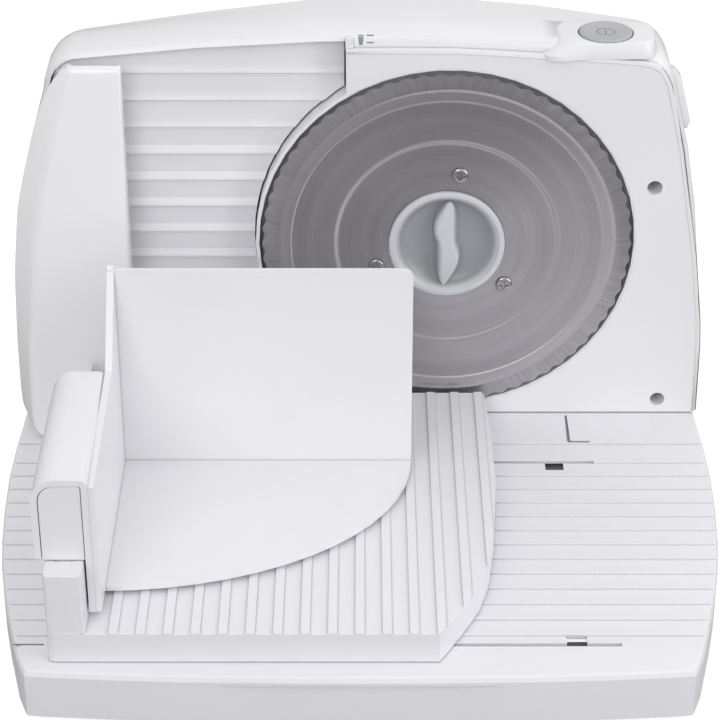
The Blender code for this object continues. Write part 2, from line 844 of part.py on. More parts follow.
def housing_outline(shrink=0.0):
    """The housing seen from the front, a low arch with bowed sides, standing on the base."""
    low, top, half = BASE_TOP_Z + GAP, HOUSING_TOP_Z, BASE_HALF_WIDTH
    left = [(-half * 0.985, low), (-half * 0.985, low + 0.035), (-half * 0.975, low + 0.085),
            (-half * 0.945, low + 0.130), (-half * 0.900, low + 0.170), (-half * 0.874, top - 0.031)]
    left += arc((-half * 0.765, top - 0.0285), HOUSING_CORNER, 172, 100, 5)
    arch = [(-half * 0.45, top - 0.0040), (-half * 0.1, top - 0.0005), (half * 0.2, top - 0.0002),
            (half * 0.5, top - 0.0035)]
    line = (left + arch + housing_right())[::-1]
    return inset(line, shrink) if shrink else line


def hollow_outline(wall):
    """The housing's inside, open through its foot."""
    inner = housing_outline(wall)
    foot = min(z for _, z in inner)
    return [(x, z if z > foot + GAP else BASE_TOP_Z - WALL) for x, z in inner]


def right_part(outline, x):
    """The part of a closed outline on the right of a place."""
    kept = []
    for (u0, v0), (u1, v1) in zip(outline, outline[1:] + outline[:1]):
        if (u0 < x) != (u1 < x):
            kept.append((x, v0 + (v1 - v0) * (x - u0) / (u1 - u0)))
        if u1 >= x:
            kept.append((u1, v1))
    return kept


def bulge_outline(wall):
    """The motor's bulge seen from behind."""
    low = BASE_TOP_Z + (-wall * 4 if wall else GAP)
    round_radius = BULGE_CORNER - wall
    right, left = BULGE_RIGHT_X - wall, BULGE_LEFT_X + wall
    top = BULGE_TOP_Z - wall - round_radius
    outline = [(right, low)]
    outline += arc((right - round_radius, top), round_radius, 0, 90, 5)
    outline += arc((left + round_radius, top), round_radius, 90, 180, 5)
    return outline + [(left, low)]


def shell_front():
    """Where the rear shell meets the front cover."""
    return COVER_Y + COVER_THICKNESS + GAP


def housing_shell():
    """The rear shell: an open-fronted arch with a rounded back and a bulge over the motor."""
    front, back = shell_front(), HOUSING_BACK_Y
    foot = BASE_TOP_Z + GAP
    shell = soft_slab("housing_shell", housing_outline(), front, back, "Y", white_plastic(),
                      HOUSING_FRONT_ROUND, HOUSING_BACK_ROUND, foot)
    bulge = soft_slab("bulge", bulge_outline(0), back - HOUSING_BACK_ROUND * 2, BULGE_BACK_Y, "Y",
                      high_round=HOUSING_BACK_ROUND, foot=foot)
    join(shell, bulge, button_pad())
    inside = hollow_outline(HOUSING_WALL)
    mouth = right_part(hollow_outline(HOUSING_WALL + COVER_LIP), COVER_LEFT_X)
    lip_back = front + HOUSING_FRONT_ROUND + HOUSING_WALL
    cut(shell, slab("inside", [inside], lip_back, back - HOUSING_WALL, "Y"))
    cut(shell, slab("mouth", [mouth], front - WALL, lip_back + WALL, "Y"))
    left_mouth = left_part(hollow_outline(HOUSING_WALL + GAP), COVER_LEFT_X + WALL)
    cut(shell, slab("left_mouth", [left_mouth], front - WALL, lip_back + WALL, "Y"))
    cut(shell, slab("inner_bulge", [bulge_outline(HOUSING_WALL)], back - HOUSING_WALL * 2,
                    BULGE_BACK_Y - HOUSING_WALL, "Y"))
    return cut(shell, *housing_holes())


def left_part(outline, x):
    """The part of a closed outline on the left of a place."""
    mirrored = [(-u, v) for u, v in outline]
    return [(-u, v) for u, v in right_part(mirrored, -x)]


def button_pad():
    """The low raised pad on the housing's top that the power button sits in."""
    low = (BUTTON_X - PAD_LENGTH / 2, shell_front() + HOUSING_FRONT_ROUND / 2)
    high = (BUTTON_X + PAD_LENGTH / 2, BUTTON_Y + PAD_BACK)
    outline = rounded_box(low, high, PAD_CORNER)
    return slab("pad", [outline], HOUSING_TOP_Z - PAD_FOOT, pad_top(), "Z")


def pad_top():
    """The height of the power button's pad, over the arch where it stands."""
    return HOUSING_TOP_Z - ARCH_DROP_AT_PAD + PAD_HEIGHT


def housing_holes():
    """The holes for the power button, the safety button, the dial's screw and the cord's gland."""
    back = HOUSING_BACK_Y
    fit = GAP * 1.5
    button = rod("hole", (BUTTON_X, BUTTON_Y), BUTTON_RADIUS + fit, HOUSING_TOP_Z - PAD_FOOT,
                 HOUSING_TOP_Z + WALL, "Z",
                 sides=24)
    low = (BASE_HALF_WIDTH * 0.8, SAFETY_Y - SAFETY_WIDTH / 2 - fit, SAFETY_Z - SAFETY_LENGTH / 2 - fit)
    high = (BASE_HALF_WIDTH, SAFETY_Y + SAFETY_WIDTH / 2 + fit, SAFETY_Z + SAFETY_LENGTH / 2 + fit)
    dial = rod("hole", (GUIDE_ROD_X, DIAL_Z), DIAL_SCREW_RADIUS + fit, back - WALL * 2, back + WALL, "Y",
               sides=12)
    gland = rod("hole", (GLAND_X, GLAND_Z), GLAND_RADIUS + GAP, back - WALL * 2, back + WALL, "Y", sides=12)
    return [button, box("hole", low, high), dial, gland]


def cover_outline():
    """The front cover: the housing's arch on the right of the blade's left side, set in a little."""
    top, low, half = HOUSING_TOP_Z, BASE_TOP_Z + GAP, BASE_HALF_WIDTH
    arch = [(COVER_LEFT_X, top - 0.0067), (BLADE_X, top - 0.0067), (BLADE_X + 0.048, top - 0.0095),
            (half - 0.0534, top - 0.0120)]
    corner = [(half - 0.036, top - 0.0141), (half - 0.029, top - 0.020), (half - 0.024, top - 0.0335)]
    side = [(half * 0.898, top - 0.061), (half * 0.928, low + 0.1272), (half * 0.961, low + 0.0932),
            (half * 0.983, low + 0.0572), (half * 0.992, low + 0.0262), (half * 0.992, low)]
    return flowing(arch + corner + side, 2) + [(COVER_LEFT_X, low)]


def well_outer():
    return BLADE_RADIUS + WELL_CLEARANCE + WELL_WALL


def cover_screw_places():
    """The two screws at the cover's right, in from the base's side, under the top and over the base."""
    return [(BASE_HALF_WIDTH - UPPER_SCREW_INSET, HOUSING_TOP_Z - UPPER_SCREW_DROP),
            (BASE_HALF_WIDTH - LOWER_SCREW_INSET, BASE_TOP_Z + LOWER_SCREW_RISE)]


def front_cover():
    """The front cover with the round well that the blade turns in, and two deep screw holes."""
    back = COVER_Y + COVER_THICKNESS
    cover = soft_slab("front_cover", cover_outline(), COVER_Y, back, "Y", white_plastic(), COVER_EDGE_ROUND)
    floor = COVER_Y + WELL_DEPTH
    inner = BLADE_RADIUS + WELL_CLEARANCE
    centre = (BLADE_X, 0, BLADE_Z)
    rim = COVER_Y + WELL_SET_BACK
    profile = [(WELL_HOLE_RADIUS, floor), (inner, floor), (inner, rim), (well_outer(), rim),
               (well_outer(), floor + WELL_WALL), (WELL_HOLE_RADIUS, floor + WELL_WALL)]
    well = turned("well", profile, centre, "Y", steps=46)
    disc = rod("disc", (BLADE_X, BLADE_Z), inner + WELL_WALL / 2, COVER_Y - WALL, back + WALL, "Y", sides=36)
    cut(cover, disc)
    join(cover, well)
    for place in cover_screw_places():
        socket = rod("socket", place, COVER_HOLE_RADIUS + COVER_SOCKET_WALL, rim + WELL_SET_BACK,
                     COVER_Y + COVER_SOCKET_DEPTH, "Y", sides=12)
        join(cover, socket)
        cut(cover, rod("hole", place, COVER_HOLE_RADIUS, COVER_Y - WALL, COVER_Y + COVER_SOCKET_DEPTH - WALL,
                       "Y", sides=12))
        cut(cover, rod("hole", place, SMALL_SCREW_RADIUS + GAP, COVER_Y, COVER_Y + COVER_SOCKET_DEPTH + WALL,
                       "Y", sides=8))
    return cover


def front_cover_screws():
    """The two long screws at the bottom of the cover's deep holes."""
    screws = []
    for x, z in cover_screw_places():
        seat = COVER_Y + COVER_SOCKET_DEPTH - WALL - GAP
        screws.append(screw((x, seat, z), "Y", SMALL_SCREW_RADIUS, SMALL_SCREW_LENGTH))
    return numbered("front_cover_screw", screws)


def guide_front():
    """The guide plate's front face at rest, set back from the cover's face."""
    return COVER_Y + GUIDE_SETTING


def guide_plate():
    """The ribbed plate left of the blade, with a curved edge that follows the blade's well."""
    front = guide_front()
    back = front + GUIDE_THICKNESS
    low = BASE_TOP_Z + GUIDE_EDGE_GAP
    inner = housing_outline(HOUSING_WALL + GAP + GUIDE_EDGE_GAP)
    foot = min(z for _, z in inner)
    edge = [(x, z if z > foot + GAP else low) for x, z in inner]
    outline = left_part(edge, COVER_LEFT_X - GUIDE_EDGE_GAP)
    teeth = []
    z = GUIDE_FIRST_RIB_Z
    top = HOUSING_TOP_Z
    teeth.append((front + GUIDE_RIB_DEPTH, top))
    while z > low:
        teeth += [(front + GUIDE_RIB_DEPTH, z + GUIDE_RIB_SLOPE),
                  (front + GUIDE_RIB_DEPTH * 0.12, z + GUIDE_RIB_LIP), (front, z),
                  (front + GUIDE_RIB_DEPTH, z)]
        z -= GUIDE_RIB_PITCH
    teeth += [(front + GUIDE_RIB_DEPTH, low - WALL), (back, low - WALL), (back, top)]
    plate = slab("guide_plate", [teeth], -BASE_HALF_WIDTH, COVER_LEFT_X + WALL, "X", white_plastic())
    combine(plate, slab("edge", [outline], front - WALL, back + WALL, "Y"), "INTERSECT")
    edge_radius = well_outer() + GUIDE_EDGE_GAP
    return cut(plate, rod("round", (BLADE_X, BLADE_Z), edge_radius, front - WALL * 2, back + WALL * 2, "Y",
                          sides=64))


def guide_carrier():
    """The bar behind the guide plate, with two sleeves that slide on the rods."""
    start = guide_front() + GUIDE_THICKNESS + GAP
    low, high = GUIDE_ROD_LOW_Z - CARRIER_END, GUIDE_ROD_HIGH_Z + CARRIER_END
    half = CARRIER_WIDTH / 2
    bar = box("guide_carrier", (GUIDE_ROD_X - half, start, low),
              (GUIDE_ROD_X + half, start + CARRIER_THICKNESS, high),
              grey_plastic())
    for z in (GUIDE_ROD_LOW_Z, GUIDE_ROD_HIGH_Z):
        place = (GUIDE_ROD_X, z)
        join(bar, rod("sleeve", place, GUIDE_ROD_RADIUS + WALL, start + CARRIER_THICKNESS / 2,
                      start + SLEEVE_LENGTH,
                      "Y", sides=12))
        cut(bar, rod("bore", place, GUIDE_ROD_RADIUS + GAP, start - WALL, start + SLEEVE_LENGTH + WALL, "Y",
                     sides=12))
    return cut(bar, rod("bore", (GUIDE_ROD_X, DIAL_Z), DIAL_SCREW_RADIUS + GAP * 2, start - WALL,
                        start + SLEEVE_LENGTH, "Y", sides=12))


def guide_nut():
    """The long nut behind the carrier, which the dial's screw drives."""
    start = guide_front() + GUIDE_THICKNESS + CARRIER_THICKNESS + 2 * GAP
    place = (GUIDE_ROD_X, DIAL_Z)
    outline = arc(place, NUT_RADIUS, 0, 300, 5)
    bore = arc(place, DIAL_SCREW_RADIUS + GAP * 2, 0, 330, 11)
    return slab("guide_nut", [outline, bore], start, start + NUT_LENGTH, "Y", brass())


def guide_rods():
    """The two fixed rods behind the guide plate, each on a round foot at the housing's back wall."""
    wall = HOUSING_BACK_Y - HOUSING_WALL - GAP
    start = guide_front() + GUIDE_THICKNESS + GUIDE_TRAVEL - GUIDE_SETTING + GAP
    made = []
    for z in (GUIDE_ROD_LOW_Z, GUIDE_ROD_HIGH_Z):
        length = wall - start
        foot = GUIDE_ROD_RADIUS * 2.2
        profile = [(0, length), (foot, length), (foot, length - WALL), (GUIDE_ROD_RADIUS, length - WALL),
                   (GUIDE_ROD_RADIUS, 0), (0, 0)]
        made.append(turned("rod", profile, (GUIDE_ROD_X, start, z), "Y", steel(), 12))
    return numbered("guide_rod", made)


def thickness_dial():
    """The fluted knob behind the housing that sets the slice's thickness."""
    place = (GUIDE_ROD_X, DIAL_Z)
    start = HOUSING_BACK_Y + GAP
    count = DIAL_FLUTES * 3
    outline = []
    for i in range(count):
        angle = tau * i / count
        radius = DIAL_RADIUS - (DIAL_FLUTE_DEPTH if i % 3 == 0 else 0)
        outline.append((place[0] + radius * cos(angle), place[1] + radius * sin(angle)))
    dial = soft_slab("thickness_dial", outline, start, start + DIAL_HEIGHT, "Y", white_plastic(),
                     high_round=DIAL_HEIGHT / 8)
    seat = rod("seat", place, DIAL_SCREW_RADIUS + GAP, start - WALL, start + DIAL_SEAT_DEPTH, "Y", sides=12)
    return cut(dial, seat)


def dial_screw():
    """The dial's screw, with a steep two-start thread that moves the nut."""
    low = guide_front() + GUIDE_THICKNESS + GUIDE_TRAVEL - GUIDE_SETTING + GAP
    high = HOUSING_BACK_Y + DIAL_SEAT_DEPTH
    plain = HOUSING_BACK_Y - HOUSING_WALL * 2 - low
    return helix_rod("dial_screw", (GUIDE_ROD_X, DIAL_Z), DIAL_SCREW_RADIUS, DIAL_THREAD_DEPTH, DIAL_LEAD, 2,
                     (low, high), (0, plain), "Y", steel())


def helix_rod(name, centre, radius, depth, lead, starts, span, threaded, axis, look, around=10, rows=4):
    """A rod with a thread: its radius follows a wave that winds along the axis.

    At angle a and height h the wave is cos(starts * a - starts * h * tau / lead). The thread
    fills the part of the rod given as threaded, and the rest is plain, at the thread's root.
    """
    low, high = span
    pitch = lead / starts
    first, last = threaded
    steps = max(2, round((last - first) / pitch * rows))
    heights = [0.0] if first > 0 else []
    heights += [first + (last - first) * i / steps for i in range(steps + 1)]
    heights += [high - low] if high - low > last else []
    body = bmesh.new()
    rings = []
    for height in heights:
        ring = []
        for i in range(around):
            angle = tau * i / around
            wave = 0.5 + 0.5 * cos(starts * (angle - tau * height / lead))
            rise = wave if first < height < last else 0.0
            reach = radius - depth * (1 - rise)
            ring.append(body.verts.new((reach * cos(angle), reach * sin(angle), height)))
        rings.append(ring)
    for one, two in zip(rings, rings[1:]):
        for i in range(around):
            body.faces.new((one[i - 1], one[i], two[i], two[i - 1]))
    body.faces.new(rings[0])
    body.faces.new(rings[-1])
    bmesh.ops.triangulate(body, faces=body.faces)
    orient(body)
    mesh = bpy.data.meshes.new(name)
    body.to_mesh(mesh)
    body.free()
    turn = {"Y": Matrix.Rotation(-pi / 2, 4, "X"), "X": Matrix.Rotation(pi / 2, 4, "Y")}[axis]
    u, v = centre
    place = (u, low, v) if axis == "Y" else (low, u, v)
    mesh.transform(Matrix.Translation(place) @ turn)
    return smooth(add_mesh(name, mesh, look), 60)


def blade():
    """The round blade: a wavy bevelled edge, a raised ring inside it, and a pressed middle."""
    thick = BLADE_THICKNESS
    dish = BLADE_DISH
    inner = [(BLADE_HOLE_RADIUS, dish), (BLADE_STEP_RADIUS - dish, dish), (BLADE_STEP_RADIUS, dish * 0.6),
             (BLADE_BEVEL_RADIUS - BLADE_RING_WIDTH, dish * 0.3), (BLADE_BEVEL_RADIUS, 0.0)]
    back = [(BLADE_BEVEL_RADIUS, thick), (BLADE_STEP_RADIUS, dish * 0.6 + thick),
            (BLADE_STEP_RADIUS - dish, dish + thick), (BLADE_HOLE_RADIUS, dish + thick)]
    body = bmesh.new()

    def ring(radius, depth, count, wave=0.0):
        verts = []
        for i in range(count):
            angle = tau * i / count
            reach = radius + wave * cos(BLADE_WAVES * angle)
            verts.append(body.verts.new((BLADE_X + reach * cos(angle), BLADE_FRONT_Y + depth,
                                         BLADE_Z + reach * sin(angle))))
        return verts

    def band(one, two):
        """Faces between a ring and one with as many points, or a whole number of times more."""
        share = len(two) // len(one)
        for i, vert in enumerate(one):
            after = one[(i + 1) % len(one)]
            far = [two[(i * share + k) % len(two)] for k in range(share + 1)]
            if share == 1:
                body.faces.new((vert, after, far[1], far[0]))
                continue
            half = share // 2
            for k in range(half):
                body.faces.new((vert, far[k + 1], far[k]))
            body.faces.new((vert, after, far[half]))
            for k in range(half, share):
                body.faces.new((after, far[k + 1], far[k]))

    edge_count = BLADE_WAVES * 4
    half = BLADE_WAVES // 2
    front_rings = [ring(radius, depth, half) for radius, depth in inner[:-1]]
    back_rings = [ring(radius, depth, half) for radius, depth in back[1:]]
    front_bevel, back_bevel = ring(*inner[-1], BLADE_WAVES), ring(*back[0], BLADE_WAVES)
    edge = dish * 0.7
    mean = BLADE_RADIUS - BLADE_WAVE_DEPTH
    front_edge = ring(mean, edge, edge_count, BLADE_WAVE_DEPTH)
    back_edge = ring(mean, edge + BLADE_EDGE_THICKNESS, edge_count, BLADE_WAVE_DEPTH)
    for one, two in zip(front_rings, front_rings[1:]):
        band(one, two)
    band(front_rings[-1], front_bevel)
    band(front_bevel, front_edge)
    band(front_edge, back_edge)
    band(back_bevel, back_edge)
    band(back_rings[0], back_bevel)
    for one, two in zip(back_rings, back_rings[1:]):
        band(one, two)
    band(back_rings[-1], front_rings[0])
    orient(body)
    mesh = bpy.data.meshes.new("blade")
    body.to_mesh(mesh)
    body.free()
    made = smooth(add_mesh("blade", mesh, steel()), 25)
    middle = BLADE_FRONT_Y + dish
    return cut(made, *[rod("hole", place, SCREW_SHANK_RADIUS + GAP, middle - WALL, middle + thick + WALL, "Y",
                           sides=6)
                       for place in blade_screw_places()])


def blade_screw_places():
    return [arc((BLADE_X, BLADE_Z), SCREW_CIRCLE_RADIUS, angle, angle, 1)[0] for angle in SCREW_ANGLES]


def hub_front():
    """The hub's front face, just behind the blade's pressed middle."""
    return BLADE_FRONT_Y + BLADE_DISH + BLADE_THICKNESS + GAP


def blade_hub():
    """The hub behind the blade: a flange, a cup for the lock knob, and a sleeve for the gear."""
    flange, cup = HUB_FLANGE, knob_back() + GAP - hub_front()
    floor = cup + WALL
    knob_bore = cup + KNOB_STEM_LENGTH + GAP
    end = GEAR_Y + GEAR_WIDTH / 2 + HUB_END - hub_front()
    bore = AXLE_RADIUS + GAP
    profile = [(HUB_RADIUS, 0), (HUB_RADIUS, flange), (BLADE_HOLE_RADIUS + WALL, flange + GAP),
               (BLADE_HOLE_RADIUS + WALL, floor), (HUB_SLEEVE_RADIUS, floor + WALL), (HUB_SLEEVE_RADIUS, end),
               (bore, end), (bore, knob_bore), (KNOB_STEM_RADIUS + GAP, knob_bore),
               (KNOB_STEM_RADIUS + GAP, cup),
               (BLADE_HOLE_RADIUS, cup), (BLADE_HOLE_RADIUS, 0)]
    hub = turned("blade_hub", profile, (BLADE_X, hub_front(), BLADE_Z), "Y", grey_plastic(), HUB_SIDES)
    start = hub_front()
    return cut(hub, *[rod("hole", place, SCREW_SHANK_RADIUS + GAP, start - WALL, start + flange + WALL, "Y",
                          sides=6)
                      for place in blade_screw_places()])


def blade_screws():
    """The three cross-head screws through the blade into the hub."""
    seat = BLADE_FRONT_Y + BLADE_DISH - GAP
    made = []
    for x, z in blade_screw_places():
        head = SCREW_HEAD_RADIUS
        length = BLADE_THICKNESS + HUB_FLANGE
        profile = [(0, length), (SCREW_SHANK_RADIUS, length), (SCREW_SHANK_RADIUS, 0), (head, 0),
                   (head, -SCREW_HEAD_HEIGHT * 0.5), (head * 0.6, -SCREW_HEAD_HEIGHT),
                   (0, -SCREW_HEAD_HEIGHT)]
        made.append(turned("screw", profile, (x, seat, z), "Y", steel(), 10))
    return numbered("blade_screw", made)


def gear_outline(centre, tip, depth, teeth):
    """A gear's outline, with four points a tooth."""
    points = []
    for i in range(teeth):
        for share, radius in ((0.0, tip - depth), (0.32, tip - depth), (0.46, tip), (0.86, tip)):
            angle = tau * (i + share) / teeth
            points.append((centre[0] + radius * cos(angle), centre[1] + radius * sin(angle)))
    return points


def blade_gear():
    """The plastic worm wheel on the hub's sleeve."""
    centre = (BLADE_X, BLADE_Z)
    half = GEAR_WIDTH / 2
    bore = arc(centre, HUB_SLEEVE_RADIUS + GAP, 0, 360 * (1 - 1 / HUB_SIDES), HUB_SIDES - 1)
    outline = gear_outline(centre, GEAR_TIP_RADIUS, GEAR_TOOTH_DEPTH, GEAR_TEETH)
    return slab("blade_gear", [outline, bore], GEAR_Y - half, GEAR_Y + half, "Y", dark_plastic())


def knob_back():
    """The back of the lock knob's cup."""
    return knob_front() + KNOB_DEPTH + KNOB_WALL


def knob_front():
    return BLADE_FRONT_Y + BLADE_DISH - GAP - KNOB_STAND


def blade_lock_knob():
    """The knob in the blade's middle: a rimmed cup with a leaf-shaped bar to turn it by."""
    depth, stand = KNOB_DEPTH, KNOB_STAND
    cup = BLADE_HOLE_RADIUS - KNOB_CLEARANCE
    back = depth + KNOB_WALL
    soft = KNOB_RIM / 4
    profile = [(KNOB_RADIUS - soft, 0), (KNOB_RADIUS, soft), (KNOB_RADIUS, stand), (cup, stand), (cup, back),
               (KNOB_STEM_RADIUS, back), (KNOB_STEM_RADIUS, back + KNOB_STEM_LENGTH),
               (0, back + KNOB_STEM_LENGTH)]
    face = [(0, depth), (cup - KNOB_WALL * 1.6, depth), (cup - KNOB_WALL, depth * 0.7),
            (KNOB_RADIUS - KNOB_RIM, soft),
            (KNOB_RADIUS - KNOB_RIM + soft, 0)]
    place = (BLADE_X, knob_front(), BLADE_Z)
    knob = turned("blade_lock_knob", face + profile, place, "Y", grey_plastic(), 26)
    bar = soft_slab("bar", grip_leaf(), knob_front() + soft, knob_front() + depth + KNOB_WALL / 2, "Y", 
                    low_round=KNOB_GRIP_ROUND)
    return join(knob, bar)


def grip_leaf():
    """The knob's bar seen from the front: a leaf with rounded tips, leaning a little."""
    half, wide = KNOB_GRIP_LENGTH / 2, KNOB_GRIP_WIDTH / 2
    right = flowing([(KNOB_GRIP_TIP, half), (wide * 0.42, half * 0.90), (wide * 0.88, half * 0.45),
                     (wide, 0)], 3)
    side = right + [(x, -z) for x, z in reversed(right[:-1])]
    outline = side + [(-x, -z) for x, z in side]
    turn = radians(-KNOB_GRIP_TURN)
    return [(BLADE_X + x * cos(turn) - z * sin(turn), BLADE_Z + x * sin(turn) + z * cos(turn))
            for x, z in outline]


def worm_z():
    """The height of the worm's axis: under the gear, with its thread just clear of the teeth."""
    return BLADE_Z - GEAR_TIP_RADIUS - MESH_GAP - WORM_RADIUS


def drive_worm():
    """The steel worm, with a plain journal at each end."""
    pitch = tau * (GEAR_TIP_RADIUS - GEAR_TOOTH_DEPTH / 2) / GEAR_TEETH
    low, high = worm_ends()
    start = BLADE_X - WORM_LENGTH / 2 - low
    return helix_rod("drive_worm", (GEAR_Y, worm_z()), WORM_RADIUS, WORM_THREAD_DEPTH, pitch, 1, (low, high),
                     (start, start + WORM_LENGTH), "X", steel(), 10, 5)


def worm_ends():
    """Where the worm's journals end, left of its first bearing and right of its second."""
    reach = WORM_LENGTH / 2 + BEARING_GAP + BEARING_WIDTH
    return BLADE_X - reach, BLADE_X + reach + BEARING_GAP


def motor_start():
    """The motor's left end, just far enough right for its top corner to clear the gear."""
    drop = BLADE_Z - worm_z() - MOTOR_HEIGHT / 2
    return BLADE_X + sqrt((GEAR_TIP_RADIUS + MOTOR_GAP) ** 2 - drop ** 2)


def fan_start():
    return motor_start() + MOTOR_LENGTH + MOTOR_GAP


def end_bearing_start():
    return fan_start() + FAN_WIDTH + MOTOR_GAP


def worm_bearings():
    """The two bronze bushes that the worm's journals turn in."""
    left = BLADE_X - WORM_LENGTH / 2 - BEARING_GAP - BEARING_WIDTH
    right = BLADE_X + WORM_LENGTH / 2 + BEARING_GAP
    return numbered("worm_bearing", [bush(left), bush(right)])


def bush(start):
    """A plain round bush on the motor's axis."""
    bore = WORM_RADIUS - WORM_THREAD_DEPTH + GAP
    profile = [(bore, BEARING_WIDTH), (BEARING_RADIUS, BEARING_WIDTH), (BEARING_RADIUS, 0), (bore, 0)]
    return turned("bush", profile, (start, GEAR_Y, worm_z()), "X", brass(), 12)


def motor_end_bearing():
    piece = bush(end_bearing_start())
    piece.name = piece.data.name = "motor_end_bearing"
    return piece


def blade_axle():
    """The fixed steel pin that the hub turns on."""
    start = knob_back() + KNOB_STEM_LENGTH + WALL
    return rod("blade_axle", (BLADE_X, BLADE_Z), AXLE_RADIUS, start, frame_back() - GAP, "Y", steel(), 14)


def frame_back():
    """The gearbox frame's back, which stands against the housing's back wall."""
    return HOUSING_BACK_Y - HOUSING_WALL - GAP


def gearbox_frame():
    """The plate behind the gear that holds the axle, the worm's bearings and the motor."""
    back = frame_back()
    start = back - FRAME_THICKNESS
    low = (BULGE_LEFT_X - FRAME_MARGIN, worm_z() - FRAME_MARGIN * 4)
    high = (BULGE_RIGHT_X + FRAME_MARGIN, BULGE_TOP_Z + FRAME_MARGIN)
    half = MOTOR_HEIGHT / 2 + GAP
    window = rounded_box((motor_start() - MOTOR_GAP, worm_z() - half),
                         (end_bearing_start() - MOTOR_GAP / 2, worm_z() + half), GAP * 3, 1)
    frame = slab("gearbox_frame", [rounded_box(low, high, FRAME_MARGIN), window], start, back, "Y",
                 grey_plastic())
    boss = rod("boss", (BLADE_X, BLADE_Z), AXLE_RADIUS * 2.2, GEAR_Y + GEAR_WIDTH / 2 + HUB_END + GAP,
               start + FRAME_THICKNESS / 2, "Y", sides=14)
    join(frame, boss)
    starts = [BLADE_X - WORM_LENGTH / 2 - BEARING_GAP - BEARING_WIDTH,
              BLADE_X + WORM_LENGTH / 2 + BEARING_GAP,
              end_bearing_start()]
    side = BEARING_RADIUS + WALL
    for x in starts:
        lug = box("lug", (x + GAP, GEAR_Y - side, worm_z() - side),
                  (x + BEARING_WIDTH - GAP, start + FRAME_THICKNESS / 2, worm_z() + side))
        join(frame, lug)
        cut(frame, rod("bore", (GEAR_Y, worm_z()), BEARING_RADIUS + GAP, x - GAP * 2,
                       x + BEARING_WIDTH + GAP * 2, "X",
                       sides=12))
    return cut(frame, rod("bore", (BLADE_X, BLADE_Z), AXLE_RADIUS + GAP, GEAR_Y, back + WALL, "Y", sides=14))


def motor_stator():
    """The motor's laminated stack, with a round hole for the armature."""
    half_y, half_z = MOTOR_DEPTH / 2, MOTOR_HEIGHT / 2
    centre = (GEAR_Y, worm_z())
    outline = rounded_box((GEAR_Y - half_y, worm_z() - half_z), (GEAR_Y + half_y, worm_z() + half_z),
                          MOTOR_CORNER, 3)
    bore = arc(centre, ARMATURE_RADIUS + MOTOR_AIR_GAP, 0, 340, 17)
    start = motor_start()
    return slab("motor_stator", [outline, bore], start, start + MOTOR_LENGTH, "X", steel())


def motor_armature():
    """The wound core and its commutator on the motor's shaft."""
    start = worm_ends()[1] + GAP
    low, high = motor_start() - start, motor_start() + MOTOR_LENGTH - start
    end = end_bearing_start() + BEARING_WIDTH - start
    shaft = WORM_RADIUS - WORM_THREAD_DEPTH
    inset_length = MOTOR_LENGTH / 6
    profile = [(0, end), (shaft, end), (shaft, high), (ARMATURE_RADIUS * 0.7, high),
               (ARMATURE_RADIUS, high - inset_length), (ARMATURE_RADIUS, low + inset_length),
               (ARMATURE_RADIUS * 0.7, low), (shaft, low), (shaft, 0), (0, 0)]
    return turned("motor_armature", profile, (start, GEAR_Y, worm_z()), "X", copper(), 14)


def motor_fan():
    """The cooling fan on the motor's shaft."""
    start = fan_start()
    centre = (GEAR_Y, worm_z())
    outline = gear_outline(centre, FAN_RADIUS, FAN_RADIUS * 0.55, FAN_BLADES)
    bore = arc(centre, WORM_RADIUS - WORM_THREAD_DEPTH + GAP, 0, 330, 11)
    return slab("motor_fan", [outline, bore], start, start + FAN_WIDTH, "X", dark_plastic())


def power_button():
    """The round button on top: its cap, its stem and the flange that holds it in the housing."""
    centre = (BUTTON_X, BUTTON_Y)
    top = pad_top() + BUTTON_STAND
    low = pad_top() - BUTTON_SINK
    stem, foot = BUTTON_RADIUS * 0.62, button_foot() + WALL / 2
    profile = [(0, top - BUTTON_DIMPLE), (stem, top - BUTTON_DIMPLE), (BUTTON_RADIUS * 0.72, top),
               (BUTTON_RADIUS - BUTTON_DIMPLE, top), (BUTTON_RADIUS, top - BUTTON_DIMPLE),
               (BUTTON_RADIUS, low),
               (stem, low), (stem, foot), (0, foot)]
    cap = turned("power_button", profile, (*centre, 0), "Z", white_plastic(), 24)
    half = BUTTON_RADIUS + WALL / 2
    flange = box("flange", (BUTTON_X - half, BUTTON_Y - BUTTON_RADIUS * 0.4, button_foot()),
                 (BUTTON_X + half, BUTTON_Y + half, button_foot() + FLANGE_THICKNESS))
    return join(cap, flange)


def button_foot():
    """The bottom of the power button's flange."""
    return pad_top() - PAD_HEIGHT - HOUSING_WALL - FLANGE_DROP


def switch_block():
    """The main switch under the power button, fixed to the back of the front cover."""
    half_x, half_z = SWITCH_SIZE[0] / 2, SWITCH_SIZE[2]
    top = button_foot() - BUTTON_TRAVEL - GAP
    start = shell_front()
    return box("switch_block", (BUTTON_X - half_x, start, top - half_z),
               (BUTTON_X + half_x, start + SWITCH_SIZE[1], top), dark_plastic(), SWITCH_BEVEL)


def safety_slope(z):
    """How far right the housing's side is at a height, near the safety button."""
    side = housing_right()
    for (x0, z0), (x1, z1) in zip(side, side[1:]):
        if z1 <= z <= z0:
            return x0 + (x1 - x0) * (z0 - z) / (z0 - z1)
    return side[-1][0]


